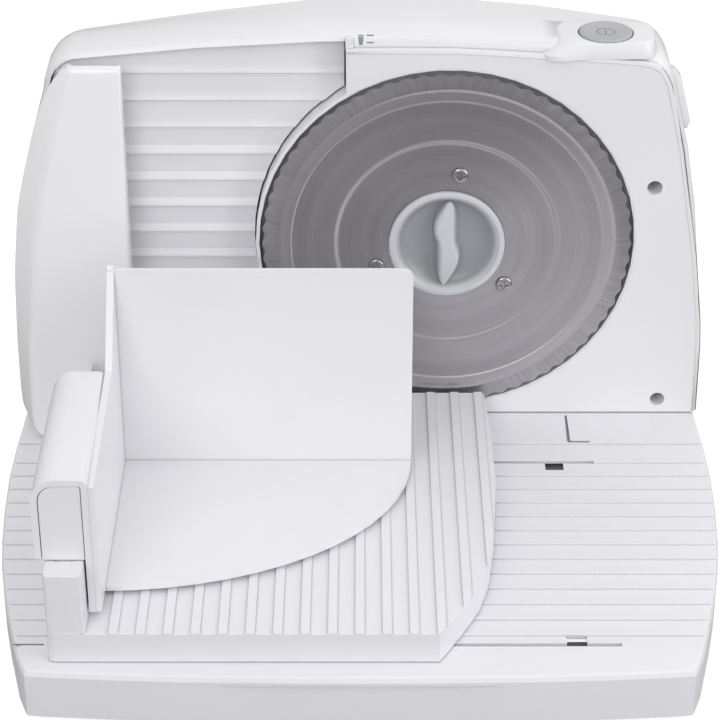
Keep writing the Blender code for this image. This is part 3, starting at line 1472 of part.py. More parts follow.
def safety_button():
    """The oblong button on the right side, which follows the housing's slope."""
    low, high = SAFETY_Z - SAFETY_LENGTH / 2, SAFETY_Z + SAFETY_LENGTH / 2
    inner = safety_slope(high) - HOUSING_WALL - SAFETY_TRAVEL
    outline = [(inner, low), (safety_slope(low) + SAFETY_STAND * 0.4, low)]
    outline += [(safety_slope(z) + SAFETY_STAND, z)
                for z in (low + SAFETY_STAND, SAFETY_Z, high - SAFETY_STAND)]
    outline += [(safety_slope(high) + SAFETY_STAND * 0.4, high), (inner, high)]
    half = SAFETY_WIDTH / 2
    button = soft_slab("safety_button", outline, SAFETY_Y - half, SAFETY_Y + half, "Y", white_plastic(),
                       low_round=SAFETY_EDGE_ROUND, high_round=SAFETY_EDGE_ROUND)
    half += WALL
    flange = box("flange", (inner - WALL / 2, SAFETY_Y - half, low - WALL),
                 (inner + WALL / 3, SAFETY_Y + half, high + WALL))
    return join(button, flange)


def safety_switch():
    """The switch behind the safety button, on a foot that stands on the housing's back wall."""
    high = SAFETY_Z + SAFETY_LENGTH / 2
    inner = safety_slope(high) - HOUSING_WALL - SAFETY_TRAVEL - WALL / 2 - SAFETY_TRAVEL - GAP
    half = SWITCH_SIZE[0] / 2
    return box("safety_switch", (inner - SWITCH_SIZE[2] / 2, SAFETY_Y - SAFETY_WIDTH / 2, SAFETY_Z - half),
               (inner, frame_back(), SAFETY_Z + half), dark_plastic(), SWITCH_BEVEL)


def cord_gland():
    """The bush in the rear wall that a cord would come through."""
    back = HOUSING_BACK_Y + GAP
    flange = GLAND_RADIUS * 1.5
    profile = [(GLAND_BORE, GLAND_FLANGE), (flange, GLAND_FLANGE), (flange, 0), (GLAND_RADIUS, 0),
               (GLAND_RADIUS, -HOUSING_WALL * 2), (GLAND_BORE, -HOUSING_WALL * 2)]
    return turned("cord_gland", profile, (GLAND_X, back, GLAND_Z), "Y", dark_plastic(), 14)


def carriage_outline():
    """The carriage seen from above, counter-clockwise, with its bowed right edge."""
    left, front, back = CARRIAGE_LEFT_X, CARRIAGE_FRONT_Y, CARRIAGE_BACK_Y
    right = flowing([(CARRIAGE_FRONT_RIGHT_X, front), (CARRIAGE_FRONT_RIGHT_X + 0.0135, front + 0.025),
                     (CARRIAGE_RIGHT_X - 0.0065, front + 0.0567), (CARRIAGE_RIGHT_X, front + 0.125),
                     (CARRIAGE_RIGHT_X - 0.0015, back - 0.012), (CARRIAGE_RIGHT_X - 0.003, back)], 2)
    corner = CARRIAGE_CORNER
    return right + arc((left + corner, back - corner), corner, 90, 180, 2) \
        + arc((left + corner, front + corner), corner, 180, 270, 2)


def side_wall_right():
    return CARRIAGE_LEFT_X + SIDE_WALL_WIDTH


def groove_middle():
    return CARRIAGE_LEFT_X + SIDE_WALL_WIDTH / 2


def peg_places():
    """Where the guard's pegs sit in the rear end of the carriage's side wall."""
    low = CARRIAGE_TOP_Z + GUARD_PEG_RADIUS * 3
    return [(groove_middle(), low), (groove_middle(), low + GUARD_PEG_RADIUS * 5)]


def carriage_tray():
    """The sliding table: an open-bottomed tray with ridges, a side wall and hooks for the slots."""
    outline = carriage_outline()
    low, top = BASE_TOP_Z + GAP, CARRIAGE_TOP_Z
    left, right = CARRIAGE_LEFT_X, side_wall_right()
    tray = soft_slab("carriage_tray", outline, low, top, look=white_plastic(), high_round=CARRIAGE_EDGE_ROUND)
    cut(tray, slab("hollow", [inset(outline, CARRIAGE_WALL)], 0, top - CARRIAGE_WALL))
    ridges = []
    x = right + CARRIAGE_RIB_PITCH
    while x < CARRIAGE_RIGHT_X - CARRIAGE_RIB_WIDTH:
        ridges.append(x)
        x += CARRIAGE_RIB_PITCH
    start, end = (right - WALL, CARRIAGE_FRONT_Y - WALL, top - CARRIAGE_RIB_HEIGHT), (
        CARRIAGE_RIGHT_X + WALL, CARRIAGE_BACK_Y + WALL, top + WALL)
    cut(tray, channels_between("channels", ridges, CARRIAGE_RIB_WIDTH, start, end, "Y"))
    side = rounded_box((left + GAP, CARRIAGE_FRONT_Y + GAP), (right, SIDE_WALL_BACK_Y),
                       CARRIAGE_CORNER * 0.7, 2)
    wall = soft_slab("wall", side, top - CARRIAGE_WALL / 2, SIDE_WALL_TOP_Z, high_round=CARRIAGE_EDGE_ROUND)
    join(tray, wall)
    half = RUNNER_GROOVE_WIDTH / 2
    floor = SIDE_WALL_TOP_Z - RUNNER_GROOVE_DEPTH
    groove = box("groove", (groove_middle() - half, CARRIAGE_FRONT_Y + STOP_LENGTH, floor),
                 (groove_middle() + half, SIDE_WALL_BACK_Y + WALL, SIDE_WALL_TOP_Z + WALL))
    hollow = box("hollow", (left + CARRIAGE_WALL, FRONT_SLOT_Y + HOOK_LENGTH, low - WALL),
                 (right - CARRIAGE_WALL, REAR_SLOT_Y - HOOK_LENGTH, floor - CARRIAGE_WALL))
    cut(tray, groove, hollow)
    bores = [rod("bore", place, GUARD_PEG_RADIUS + GAP, SIDE_WALL_BACK_Y - PEG_DEPTH, SIDE_WALL_BACK_Y + WALL,
                 "Y", sides=10) for place in peg_places()]
    cut(tray, *bores)
    return join(tray, *carriage_hooks())


def carriage_hooks():
    """Four hooks under the carriage, whose lips catch under the base's top."""
    hooks = []
    half, thick = HOOK_LENGTH / 2, HOOK_THICKNESS / 2
    lip_top = BASE_TOP_Z - WALL - HOOK_CLEARANCE
    lip_low = lip_top - HOOK_THICKNESS
    root = CARRIAGE_TOP_Z - CARRIAGE_WALL * 0.8
    for y, side in ((FRONT_SLOT_Y, 1), (REAR_SLOT_Y, -1)):
        profile = [(y - side * thick, lip_low), (y + side * (thick + HOOK_LIP), lip_low),
                   (y + side * (thick + HOOK_LIP), lip_top), (y + side * thick, lip_top),
                   (y + side * thick, root),
                   (y - side * thick, root)]
        for x in HOOK_X:
            hooks.append(slab("hook", [profile], x - half, x + half, "X"))
    return hooks


def guard_face_y(z):
    """How far back the guard's leaning front face is at a height."""
    share = (z - GUARD_BOTTOM_Z) / (GUARD_TOP_Z - GUARD_BOTTOM_Z)
    return GUARD_BACK_Y - GUARD_LOW_DEPTH + (GUARD_LOW_DEPTH - GUARD_TOP_DEPTH) * share


def guard_fold_x(z):
    """How far left the guard's front face folds back at a height."""
    share = (z - GUARD_BOTTOM_Z) / (GUARD_TOP_Z - GUARD_BOTTOM_Z)
    return GUARD_FOLD_X + GUARD_FOLD_LEAN * share ** 2.2


def guard_rear_x(z):
    """How far left the guard's rear edge is at a height, just inside the housing's side."""
    share = (z - GUARD_BOTTOM_Z) / (GUARD_TOP_Z - GUARD_BOTTOM_Z)
    return GUARD_REAR_X + GUARD_REAR_LEAN * share ** 2.6


def hand_guard():
    """The milky guard: a leaning face, a short flange on its right and a flared side on its left."""
    heights = [GUARD_BOTTOM_Z + (GUARD_TOP_Z - GUARD_BOTTOM_Z) * i / 8 for i in range(9)]
    verts = []
    for z in heights:
        face, fold, rear = guard_face_y(z), guard_fold_x(z), guard_rear_x(z)
        soft = min(GUARD_FOLD_ROUND, (GUARD_BACK_Y - face) / 3)
        verts += [(GUARD_RIGHT_X, GUARD_BACK_Y, z), (GUARD_RIGHT_X, face + soft, z),
                  (GUARD_RIGHT_X - soft, face, z),
                  (fold + soft, face, z), (fold - soft * 0.4, face + soft * 0.6, z), (rear, GUARD_BACK_Y, z)]
    columns = 6
    faces = []
    for row in range(len(heights) - 1):
        for column in range(columns - 1):
            first = row * columns + column
            faces.append((first, first + 1, first + 1 + columns, first + columns))
    mesh = bpy.data.meshes.new("hand_guard")
    mesh.from_pydata(verts, [], faces)
    guard = add_mesh("hand_guard", mesh, material("milky_plastic", MILKY, 0.25, 0.0, 0.75))
    shell = guard.modifiers.new("wall", "SOLIDIFY")
    shell.thickness = GUARD_THICKNESS
    shell.offset = 1
    shell.use_even_offset = True
    bake(guard)
    face_out(guard)
    cut(guard, guard_top_cutter(), guard_foot_cutter())
    notch = box("notch", (CARRIAGE_LEFT_X - GUARD_CLEARANCE, -GUARD_BACK_Y, 0),
                (GUARD_RIGHT_X + WALL * 2, GUARD_BACK_Y + WALL, CARRIAGE_TOP_Z + GUARD_CLEARANCE))
    cut(guard, notch)
    bores = [rod("bore", place, GUARD_PEG_RADIUS + GAP, SIDE_WALL_BACK_Y, GUARD_BACK_Y, "Y", sides=10)
             for place in peg_places()]
    return cut(guard, *bores)


def guard_top_cutter():
    """What is cut off above the guard's rounded top-left corner."""
    top = GUARD_TOP_Z
    right = GUARD_RIGHT_X
    line = flowing([(right + 0.010, top - 0.0005), (right - 0.024, top - 0.006),
                    (right - 0.031, top - 0.0115),
                    (right - 0.0355, top - 0.0215), (right - 0.0625, top - 0.036)], 2)
    above = [(right - 0.080, top + 0.020), (right + 0.010, top + 0.020)]
    return slab("above", [line + above], 0, COVER_Y, "Y")


def guard_foot_cutter():
    """What is cut off below the guard's rounded bottom-left corner."""
    low, radius = GUARD_BOTTOM_Z, GUARD_FOOT_RADIUS
    left = GUARD_REAR_X
    curve = arc((left + radius, low + radius), radius, 180, 270, 4)
    outline = [(left - WALL * 2, low + radius), *curve, (left + radius, low - WALL),
               (left - WALL * 2, low - WALL)]
    return slab("below", [outline], 0, COVER_Y, "Y")


def guard_clips():
    """The two pegs that hold the guard to the carriage's side wall."""
    pegs = []
    for x, z in peg_places():
        start = SIDE_WALL_BACK_Y - PEG_DEPTH + GAP
        seat = guard_face_y(z + GUARD_PEG_RADIUS * 2) + GUARD_THICKNESS + GAP - start
        profile = [(0, seat + GUARD_PEG_RADIUS / 2), (GUARD_PEG_RADIUS * 2, seat + GUARD_PEG_RADIUS / 2),
                   (GUARD_PEG_RADIUS * 2, seat), (GUARD_PEG_RADIUS, seat), (GUARD_PEG_RADIUS, 0), (0, 0)]
        pegs.append(turned("peg", profile, (x, start, z), "Y", grey_plastic(), 12))
    return numbered("guard_clip", pegs)


def web_left():
    """The left face of the pusher's web, which is the grip channel's right face."""
    return side_wall_right() + PUSHER_WEB_OFFSET


def food_pusher():
    """The pusher: an upright panel with a quarter-round shelf, a side web and a grip channel."""
    left = web_left()
    low, top = CARRIAGE_TOP_Z + PUSHER_CLEARANCE, PUSHER_TOP_Z
    back = PUSHER_FACE_Y + PUSHER_WALL
    soft = PUSHER_CORNER
    outline = [(left, low), (PUSHER_RIGHT_X, low), *arc((PUSHER_RIGHT_X - soft, top - soft), soft, 0, 90, 3),
               (left, top)]
    pusher = slab("food_pusher", [outline], PUSHER_FACE_Y, back, "Y", white_plastic())
    reach = PUSHER_RIGHT_X - left
    shelf_end = PUSHER_FACE_Y - PUSHER_SHELF_DEPTH
    curve = [(left + reach * cos(radians(a)), back - GAP + (shelf_end - back) * sin(radians(a)))
             for a in range(0, 91, 6)]
    join(pusher, slab("shelf", [[(left, back - GAP)] + curve], low, low + PUSHER_WALL))
    near, far = GRIP_FRONT_Y + GAP, back - GAP * 2
    web = [(far, low + GAP), (far, top + PUSHER_WALL * 0.7), (GRIP_FRONT_Y + GRIP_LENGTH, GRIP_TOP_Z - GAP),
           (near, GRIP_TOP_Z - GRIP_RIGHT_ROUND), (near, low + WALL / 2)]
    join(pusher, slab("web", [web], left - GAP, left + GRIP_WALL, "X"))
    return join(pusher, slab("channel", [channel_outline()], GRIP_FRONT_Y, GRIP_FRONT_Y + GRIP_LENGTH, "Y"))


def channel_left():
    """The left face of the grip channel, just outside the carriage's side wall."""
    return CARRIAGE_LEFT_X - GRIP_OVERHANG


def channel_outline():
    """The grip channel seen from the front: an arch with a short left side and a long right one."""
    left, right = channel_left(), web_left() + GAP
    top, wall = GRIP_TOP_Z, GRIP_WALL
    low_left = SIDE_WALL_TOP_Z + GAP * 3
    low_right = CARRIAGE_TOP_Z + PUSHER_CLEARANCE + WALL / 2
    outer = arc((right - GRIP_RIGHT_ROUND, top - GRIP_RIGHT_ROUND), GRIP_RIGHT_ROUND, 0, 90, 3)
    outer += arc((left + GRIP_LEFT_ROUND, top - GRIP_LEFT_ROUND), GRIP_LEFT_ROUND, 90, 180, 5)
    inner = arc((left + GRIP_LEFT_ROUND, top - GRIP_LEFT_ROUND), GRIP_LEFT_ROUND - wall, 180, 90, 5)
    inner += arc((right - GRIP_RIGHT_ROUND, top - GRIP_RIGHT_ROUND), GRIP_RIGHT_ROUND - wall, 90, 0, 3)
    return [(right, low_right), *outer, (left, low_left), (left + wall, low_left), *inner,
            (right - wall, low_right)]


def grip_insert():
    """The grey end piece that fills the grip channel, with a tongue that runs in the wall's groove."""
    left, right = channel_left() + GRIP_WALL + GAP, web_left() - GRIP_WALL
    top = GRIP_TOP_Z - GRIP_WALL - GAP
    low = SIDE_WALL_TOP_Z + GAP
    soft = GRIP_LEFT_ROUND - GRIP_WALL
    tight = GRIP_INSERT_ROUND
    outline = [(left, low), (right, low), *arc((right - tight, top - tight), tight, 0, 90, 2),
               *arc((left + soft, top - soft), soft, 90, 180, 5)]
    start, end = GRIP_FRONT_Y + GAP, GRIP_FRONT_Y + GRIP_LENGTH - WALL
    insert = slab("grip_insert", [outline], start, end, "Y", grey_plastic())
    half = RUNNER_GROOVE_WIDTH / 2 - GAP
    tongue = box("tongue", (groove_middle() - half, start + GAP, SIDE_WALL_TOP_Z - RUNNER_GROOVE_DEPTH + GAP),
                 (groove_middle() + half, end - WALL, low + WALL))
    join(insert, tongue)
    hollow = box("hollow", (left + GRIP_WALL, start + GRIP_WALL * 2, low + GRIP_WALL),
                 (right - GRIP_WALL, end + WALL, top - GRIP_WALL))
    return cut(insert, hollow)


def build():
    """Make every piece, and hang the moving ones on their joints' axes."""
    base_tray()
    feet()
    bottom_cover()
    bottom_cover_screws()
    housing_shell()
    front_cover()
    front_cover_screws()
    cord_gland()
    gearbox_frame()
    blade_axle()
    worm_bearings()
    motor_end_bearing()
    motor_stator()
    switch_block()
    safety_switch()
    guide_rods()
    axis = (BLADE_X, COVER_Y, BLADE_Z)
    turning = hang_on("blade_spin", axis, [blade(), blade_hub(), *blade_screws(), blade_gear()])
    lock = hang_on("blade_lock_turn", axis, [blade_lock_knob()])
    lock.parent = turning
    lock.matrix_parent_inverse = turning.matrix_world.inverted()
    hang_on("motor_spin", (motor_start(), GEAR_Y, worm_z()), [motor_armature(), drive_worm(), motor_fan()])
    hang_on("guide_slide", (GUIDE_ROD_X, guide_front(), DIAL_Z),
            [guide_plate(), guide_carrier(), guide_nut()])
    hang_on("dial_turn", (GUIDE_ROD_X, HOUSING_BACK_Y, DIAL_Z), [thickness_dial(), dial_screw()])
    hang_on("power_press", (BUTTON_X, BUTTON_Y, pad_top()), [power_button()])
    hang_on("safety_press", (safety_slope(SAFETY_Z), SAFETY_Y, SAFETY_Z), [safety_button()])
    rest = (CARRIAGE_LEFT_X, CARRIAGE_FRONT_Y, BASE_TOP_Z)
    carriage = hang_on("carriage_slide", rest, [carriage_tray(), hand_guard(), *guard_clips()])
    pusher = hang_on("pusher_slide", (groove_middle(), GRIP_FRONT_Y, SIDE_WALL_TOP_Z),
                     [food_pusher(), grip_insert()])
    pusher.parent = carriage
    pusher.matrix_parent_inverse = carriage.matrix_world.inverted()


build()
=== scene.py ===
"""The looks of the electric food slicer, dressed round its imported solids.

Metres throughout, +Z up, +X along the carriage's travel and +Y from the user to the blade.
"""
import json
from math import pi, radians, tau

import bmesh
import bpy
from mathutils.bvhtree import BVHTree
import numpy as np
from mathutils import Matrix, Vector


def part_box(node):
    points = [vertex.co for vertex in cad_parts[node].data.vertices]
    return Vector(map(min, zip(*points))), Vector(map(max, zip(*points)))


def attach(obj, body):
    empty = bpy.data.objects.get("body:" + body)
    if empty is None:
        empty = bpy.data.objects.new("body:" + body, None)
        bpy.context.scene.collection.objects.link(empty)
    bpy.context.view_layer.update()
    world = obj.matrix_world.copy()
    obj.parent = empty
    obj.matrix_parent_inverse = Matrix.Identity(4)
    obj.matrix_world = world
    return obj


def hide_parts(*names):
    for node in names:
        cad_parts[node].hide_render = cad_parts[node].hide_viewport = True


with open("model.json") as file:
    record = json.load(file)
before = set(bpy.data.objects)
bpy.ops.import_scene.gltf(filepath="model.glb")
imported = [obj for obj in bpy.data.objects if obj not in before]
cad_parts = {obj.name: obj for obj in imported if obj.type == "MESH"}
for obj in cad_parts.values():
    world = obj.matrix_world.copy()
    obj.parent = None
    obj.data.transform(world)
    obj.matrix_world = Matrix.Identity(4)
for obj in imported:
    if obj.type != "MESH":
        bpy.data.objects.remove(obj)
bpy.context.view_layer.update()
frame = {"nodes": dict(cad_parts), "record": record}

MM = 0.001
BLADE_X = 44.6 * MM
BLADE_Z = 132.6 * MM
BLADE_FRONT_Y = 64.5 * MM
BLADE_RADIUS = 95.0 * MM
BLADE_HOLE = 26.2 * MM
BLADE_WAVES = 66
WAVE_DEPTH = 1.3 * MM
PAINTED_SHADE_REACH = 1.1 * MM
BASE_TOP = 29.5 * MM
RING_BAND = 83.2 * MM, 3.2 * MM
BEVEL_RADIUS = 86.5 * MM
RING_RADIUS = 80.0 * MM
STEP_RADIUS = 58.0 * MM
DISH = 2.2 * MM
BLADE_THICKNESS = 1.2 * MM
FLUTE_DEPTH = 0.35 * MM

KNOB_RADIUS = 29.8 * MM
KNOB_DEPTH = 7.0 * MM
KNOB_RIM = 3.0 * MM
KNOB_WALL = 2.2 * MM
GRIP_HALF = 24.0 * MM
GRIP_HALF_WIDTH = 6.8 * MM

NODE_SLOTS = {part["node"]: part["material_slot"] for part in frame["record"]["subparts"]}
NODE_BODIES = {node: body for body, nodes in frame["record"]["behaviour"]["bodies"].items() for node in nodes}


def linear(hex_colour):
    """An sRGB hex colour as linear RGBA."""
    parts = [int(hex_colour[i:i + 2], 16) / 255 for i in (1, 3, 5)]
    return (*[c / 12.92 if c <= 0.04045 else ((c + 0.055) / 1.055) ** 2.4 for c in parts], 1.0)


def add(tree, kind, inputs=None, **settings):
    """Add one node: settings are its own properties, and each input takes a value or (node, output)."""
    node = tree.nodes.new("ShaderNode" + kind)
    for key, value in settings.items():
        setattr(node, key, value)
    for key, value in (inputs or {}).items():
        if isinstance(value, tuple) and isinstance(value[0], bpy.types.Node):
            tree.links.new(value[0].outputs[value[1]], node.inputs[key])
        else:
            node.inputs[key].default_value = value
    return node


def start_material(name, roughness, metallic=0.0, **sockets):
    """A Principled material with its plain values set, and its tree, shader and object coordinates."""
    material = bpy.data.materials.new(name)
    material.use_nodes = True
    tree = material.node_tree
    shader = tree.nodes["Principled BSDF"]
    shader.inputs["Roughness"].default_value = roughness
    shader.inputs["Metallic"].default_value = metallic
    for key, value in sockets.items():
        shader.inputs[key.replace("_", " ")].default_value = value
    return material, tree, shader, add(tree, "TexCoord")


def two_tones(tree, shader, factor, dark, light):
    """Base colour between two near colours, by a factor from 0 to 1."""
    mix = add(tree, "Mix", {"Factor": factor}, data_type="RGBA")
    mix.inputs[6].default_value, mix.inputs[7].default_value = linear(dark), linear(light)
    tree.links.new(mix.outputs[2], shader.inputs["Base Color"])


def raise_by(tree, shader, height, distance, strength=1.0):
    """Bump from a height of 0 to 1, as deep as the distance."""
    bump = add(tree, "Bump", {"Height": height, "Distance": distance, "Strength": strength})
    tree.links.new(bump.outputs["Normal"], shader.inputs["Normal"])


def painted_crease_shade(tree, shader):
    """Painted shade: the base colour is darkened by ambient occlusion in narrow corners and at the foot of
    each rib.
    """
    tone = shader.inputs["Base Color"].links[0].from_socket
    near = add(tree, "AmbientOcclusion", {"Distance": PAINTED_SHADE_REACH}, samples=6)
    share = add(tree, "MapRange", {"Value": (near, "AO"), "From Min": 0.45, "From Max": 0.96,
                                   "To Min": 0.68, "To Max": 1.0})
    dimmed = add(tree, "VectorMath", {"Scale": (share, "Result")}, operation="SCALE")
    tree.links.new(tone, dimmed.inputs[0])
    tree.links.new(dimmed.outputs["Vector"], shader.inputs["Base Color"])


def moulded(name, dark, light, roughness, grain=0.9 * MM, depth=0.02 * MM, **sockets):
    """Injection-moulded plastic: an even colour that drifts a little, a fine spark-eroded grain,
    and a gloss that varies with how the melt met the tool, with painted shade darkening its corners."""
    material, tree, shader, place = start_material(name, roughness, **sockets)
    drift = add(tree, "TexNoise", {"Vector": (place, "Object"), "Scale": 1 / (70 * MM), "Detail": 3.0})
    two_tones(tree, shader, (drift, "Fac"), dark, light)
    fine = add(tree, "TexNoise", {"Vector": (place, "Object"), "Scale": 1 / grain, "Detail": 2.0})
    raise_by(tree, shader, (fine, "Fac"), depth)
    gloss = add(tree, "MapRange", {"Value": (drift, "Fac"), "To Min": roughness - 0.04,
                                   "To Max": roughness + 0.05})
    tree.links.new(gloss.outputs["Result"], shader.inputs["Roughness"])
    # painted shade in corners and at rib feet, from ambient occlusion
    painted_crease_shade(tree, shader)
    return material


def brushed_blade():
    """Stainless steel ground on a turntable: fine rings round the middle, which stretch highlights
    into bright fans, and short lines across the ground bevel. The real rings are about 0.1 mm
    apart and are drawn at 0.7 mm, to show."""
    material, tree, shader, place = start_material(
        "brushed_stainless_blade", 0.34, 1.0, Anisotropic=0.7)
    middle = add(tree, "VectorMath", {0: (place, "Object"), 1: (BLADE_X, 0.0, BLADE_Z)}, operation="SUBTRACT")
    flat = add(tree, "VectorMath", {0: (middle, "Vector"), 1: (1.0, 0.0, 1.0)}, operation="MULTIPLY")
    radius = add(tree, "VectorMath", {0: (flat, "Vector")}, operation="LENGTH")
    unit = add(tree, "VectorMath", {0: (flat, "Vector")}, operation="NORMALIZE")
    swept = add(tree, "VectorMath", {0: (unit, "Vector"), 1: (1.2 * MM,) * 3}, operation="MULTIPLY")
    outward = add(tree, "CombineXYZ", {"Y": (radius, "Value")})
    polar = add(tree, "VectorMath", {0: (swept, "Vector"), 1: (outward, "Vector")}, operation="ADD")
    rings = add(tree, "TexNoise", {"Vector": (polar, "Vector"), "Scale": 1 / (0.7 * MM), "Detail": 4.0,
                                   "Roughness": 0.6})
    broad = add(tree, "TexNoise", {"Vector": (polar, "Vector"), "Scale": 1 / (9 * MM)})
    both = add(tree, "Math", {0: (rings, "Fac"), 1: (broad, "Fac")}, operation="ADD")
    spread = add(tree, "VectorMath", {0: (unit, "Vector"), 1: (BLADE_RADIUS,) * 3}, operation="MULTIPLY")
    ground = add(tree, "TexNoise", {"Vector": (spread, "Vector"), "Scale": 1 / (1.1 * MM), "Detail": 3.0})
    twice = add(tree, "Math", {0: (ground, "Fac"), 1: 2.0}, operation="MULTIPLY")
    edge = add(tree, "MapRange", {"Value": (radius, "Value"), "From Min": BEVEL_RADIUS - 0.3 * MM,
                                  "From Max": BEVEL_RADIUS + 0.3 * MM})
    lines = add(tree, "Mix", {"Factor": (edge, "Result"), "A": (both, "Value"), "B": (twice, "Value")})
    band = add(tree, "Math", {0: (radius, "Value"), 1: RING_BAND[0], 2: RING_BAND[1]}, operation="COMPARE")
    paler = add(tree, "Math", {0: (band, "Value"), 1: 0.4, 2: (lines, "Result")}, operation="MULTIPLY_ADD")
    share = add(tree, "MapRange", {"Value": (paler, "Value"), "From Min": 0.45, "From Max": 1.55})
    two_tones(tree, shader, (share, "Result"), "#a9a7aa", "#c8c5c8")
    raise_by(tree, shader, (lines, "Result"), 0.008 * MM)
    tangent = add(tree, "Tangent", direction_type="RADIAL", axis="Y")
    tree.links.new(tangent.outputs["Tangent"], shader.inputs["Tangent"])
    return material


def turned_metal(name, dark, light, roughness=0.3, line=0.5 * MM, axis=1, **sockets):
    """Metal turned or drawn along an axis: fine lines that run across that axis."""
    material, tree, shader, place = start_material(name, roughness, 1.0, **sockets)
    stretch = [0.12, 0.12, 0.12]
    stretch[axis] = 1.0
    lines = add(tree, "Mapping", {"Vector": (place, "Object"), "Scale": tuple(stretch)})
    noise = add(tree, "TexNoise", {"Vector": (lines, "Vector"), "Scale": 1 / line, "Detail": 3.0})
    two_tones(tree, shader, (noise, "Fac"), dark, light)
    raise_by(tree, shader, (noise, "Fac"), 0.01 * MM)
    return material


def banded(name, dark, light, roughness, pitch, axis, metallic=1.0, depth=0.1 * MM):
    """Something stacked or wound, such as steel sheets or wire: bands a pitch apart along an axis."""
    material, tree, shader, place = start_material(name, roughness, metallic)
    wave = add(tree, "TexWave", {"Vector": (place, "Object"), "Scale": 0.314 / pitch, "Distortion": 0.4},
               wave_type="BANDS", bands_direction=axis)
    two_tones(tree, shader, (wave, "Fac"), dark, light)
    raise_by(tree, shader, (wave, "Fac"), depth)
    return material


def milky_guard():
    """Frosted polypropylene: mostly white, and light passes a little way into it and through it."""
    material, tree, shader, place = start_material(
        "frosted_polypropylene", 0.22, IOR=1.49, Alpha=0.93, Subsurface_Weight=0.2, Subsurface_Scale=0.003,
        Subsurface_Radius=(1.0, 1.0, 1.0))
    cloud = add(tree, "TexNoise", {"Vector": (place, "Object"), "Scale": 1 / (35 * MM), "Detail": 2.0})
    two_tones(tree, shader, (cloud, "Fac"), "#f5f5f7", "#fbfbfd")
    fine = add(tree, "TexNoise", {"Vector": (place, "Object"), "Scale": 1 / (1.5 * MM)})
    raise_by(tree, shader, (fine, "Fac"), 0.02 * MM)
    return material


def cup_grey_painted_shade(front):
    """The knob's pale grey ABS, with painted shade: darker down in the cup, where little light gets."""
    material, tree, shader, place = start_material("knob_grey_abs", 0.3)
    depth = add(tree, "SeparateXYZ", {"Vector": (place, "Object")})
    # painted shade: the colour darkens from the rim down into the cup
    share = add(tree, "MapRange", {"Value": (depth, "Y"), "From Min": front + 0.4 * MM,
                                   "From Max": front + 0.6 * KNOB_DEPTH}, interpolation_type="SMOOTHSTEP")
    two_tones(tree, shader, (share, "Result"), "#cdced2", "#9a9b9f")
    fine = add(tree, "TexNoise", {"Vector": (place, "Object"), "Scale": 1 / (0.9 * MM), "Detail": 2.0})
    raise_by(tree, shader, (fine, "Fac"), 0.015 * MM)
    return material


WHITE_ABS = moulded("gloss_white_abs", "#e4e4e7", "#ebebee", 0.3)
RIBBED_ABS = moulded("satin_white_abs", "#e2e2e6", "#e9e9ed", 0.38, depth=0.03 * MM)
GREY_ABS = moulded("pale_grey_abs", "#c6c7ca", "#cfd0d3", 0.36)
KNOB_ABS = cup_grey_painted_shade(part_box("blade_lock_knob")[0].y)
INNER_GREY = moulded("inner_grey_abs", "#9da1a3", "#adb0b2", 0.5)
BLACK_NYLON = moulded("black_nylon", "#1b1b1d", "#28282b", 0.5, grain=1.2 * MM, depth=0.04 * MM)
RUBBER = moulded("black_rubber", "#18181a", "#222224", 0.75, grain=1.0 * MM, depth=0.06 * MM)
BUTTON_GREY = moulded("button_grey_abs", "#acadb0", "#b6b7ba", 0.36)
# painted shade: a dark grey for lines and beds set where gaps and notches lie in shadow
PAINTED_SHADE_GREY = moulded("painted_gap_shade_grey", "#737478", "#7d7e82", 0.6)
PRINT_GREY = moulded("printed_grey", "#85878b", "#8f9195", 0.5)
BLADE_STEEL = brushed_blade()
SCREW_STEEL = turned_metal("plated_screw_steel", "#9a989a", "#c9c7c9", 0.24)
SHAFT_STEEL = turned_metal("ground_shaft_steel", "#8e8f92", "#b9babc", 0.26)
CORE_STEEL = banded("laminated_core_steel", "#4f5154", "#8a8c8f", 0.45, 0.6 * MM, "X")
COPPER = banded("enamelled_copper_wire", "#7a3d20", "#c47343", 0.35, 0.5 * MM, "X")
BRONZE = turned_metal("sintered_bronze", "#8a6a3a", "#b08d55", 0.45)
MILKY = milky_guard()

SLOT_LOOKS = {"white_plastic": WHITE_ABS, "grey_plastic": GREY_ABS, "milky_plastic": MILKY,
              "steel": SCREW_STEEL, "dark_plastic": BLACK_NYLON, "rubber": RUBBER,
              "brass": BRONZE, "copper": COPPER}
NODE_LOOKS = {"guide_plate": RIBBED_ABS, "base_tray": RIBBED_ABS, "carriage_tray": RIBBED_ABS,
              "gearbox_frame": INNER_GREY, "guide_carrier": INNER_GREY, "blade_hub": INNER_GREY,
              "bottom_cover": INNER_GREY, "grip_insert": WHITE_ABS, "power_button": GREY_ABS,
              "blade_axle": SHAFT_STEEL, "guide_rod_1": SHAFT_STEEL,
              "guide_rod_2": SHAFT_STEEL, "drive_worm": SHAFT_STEEL, "dial_screw": SHAFT_STEEL,
              "motor_stator": CORE_STEEL}


def surface(name, points, look, close_rows=False, close_columns=False):
    """A mesh over a grid of points (rows, columns, 3), whose rows or columns may close into a ring."""
    rows, columns = points.shape[:2]
    index = np.arange(rows * columns).reshape(rows, columns)
    if close_rows:
        index = np.vstack([index, index[:1]])
    if close_columns:
        index = np.hstack([index, index[:, :1]])
    quads = np.stack([index[:-1, :-1], index[1:, :-1], index[1:, 1:], index[:-1, 1:]], axis=-1).reshape(-1, 4)
    mesh = bpy.data.meshes.new(name)
    mesh.from_pydata(points.reshape(-1, 3).tolist(), [], quads.tolist())
    return finished(name, mesh, look)


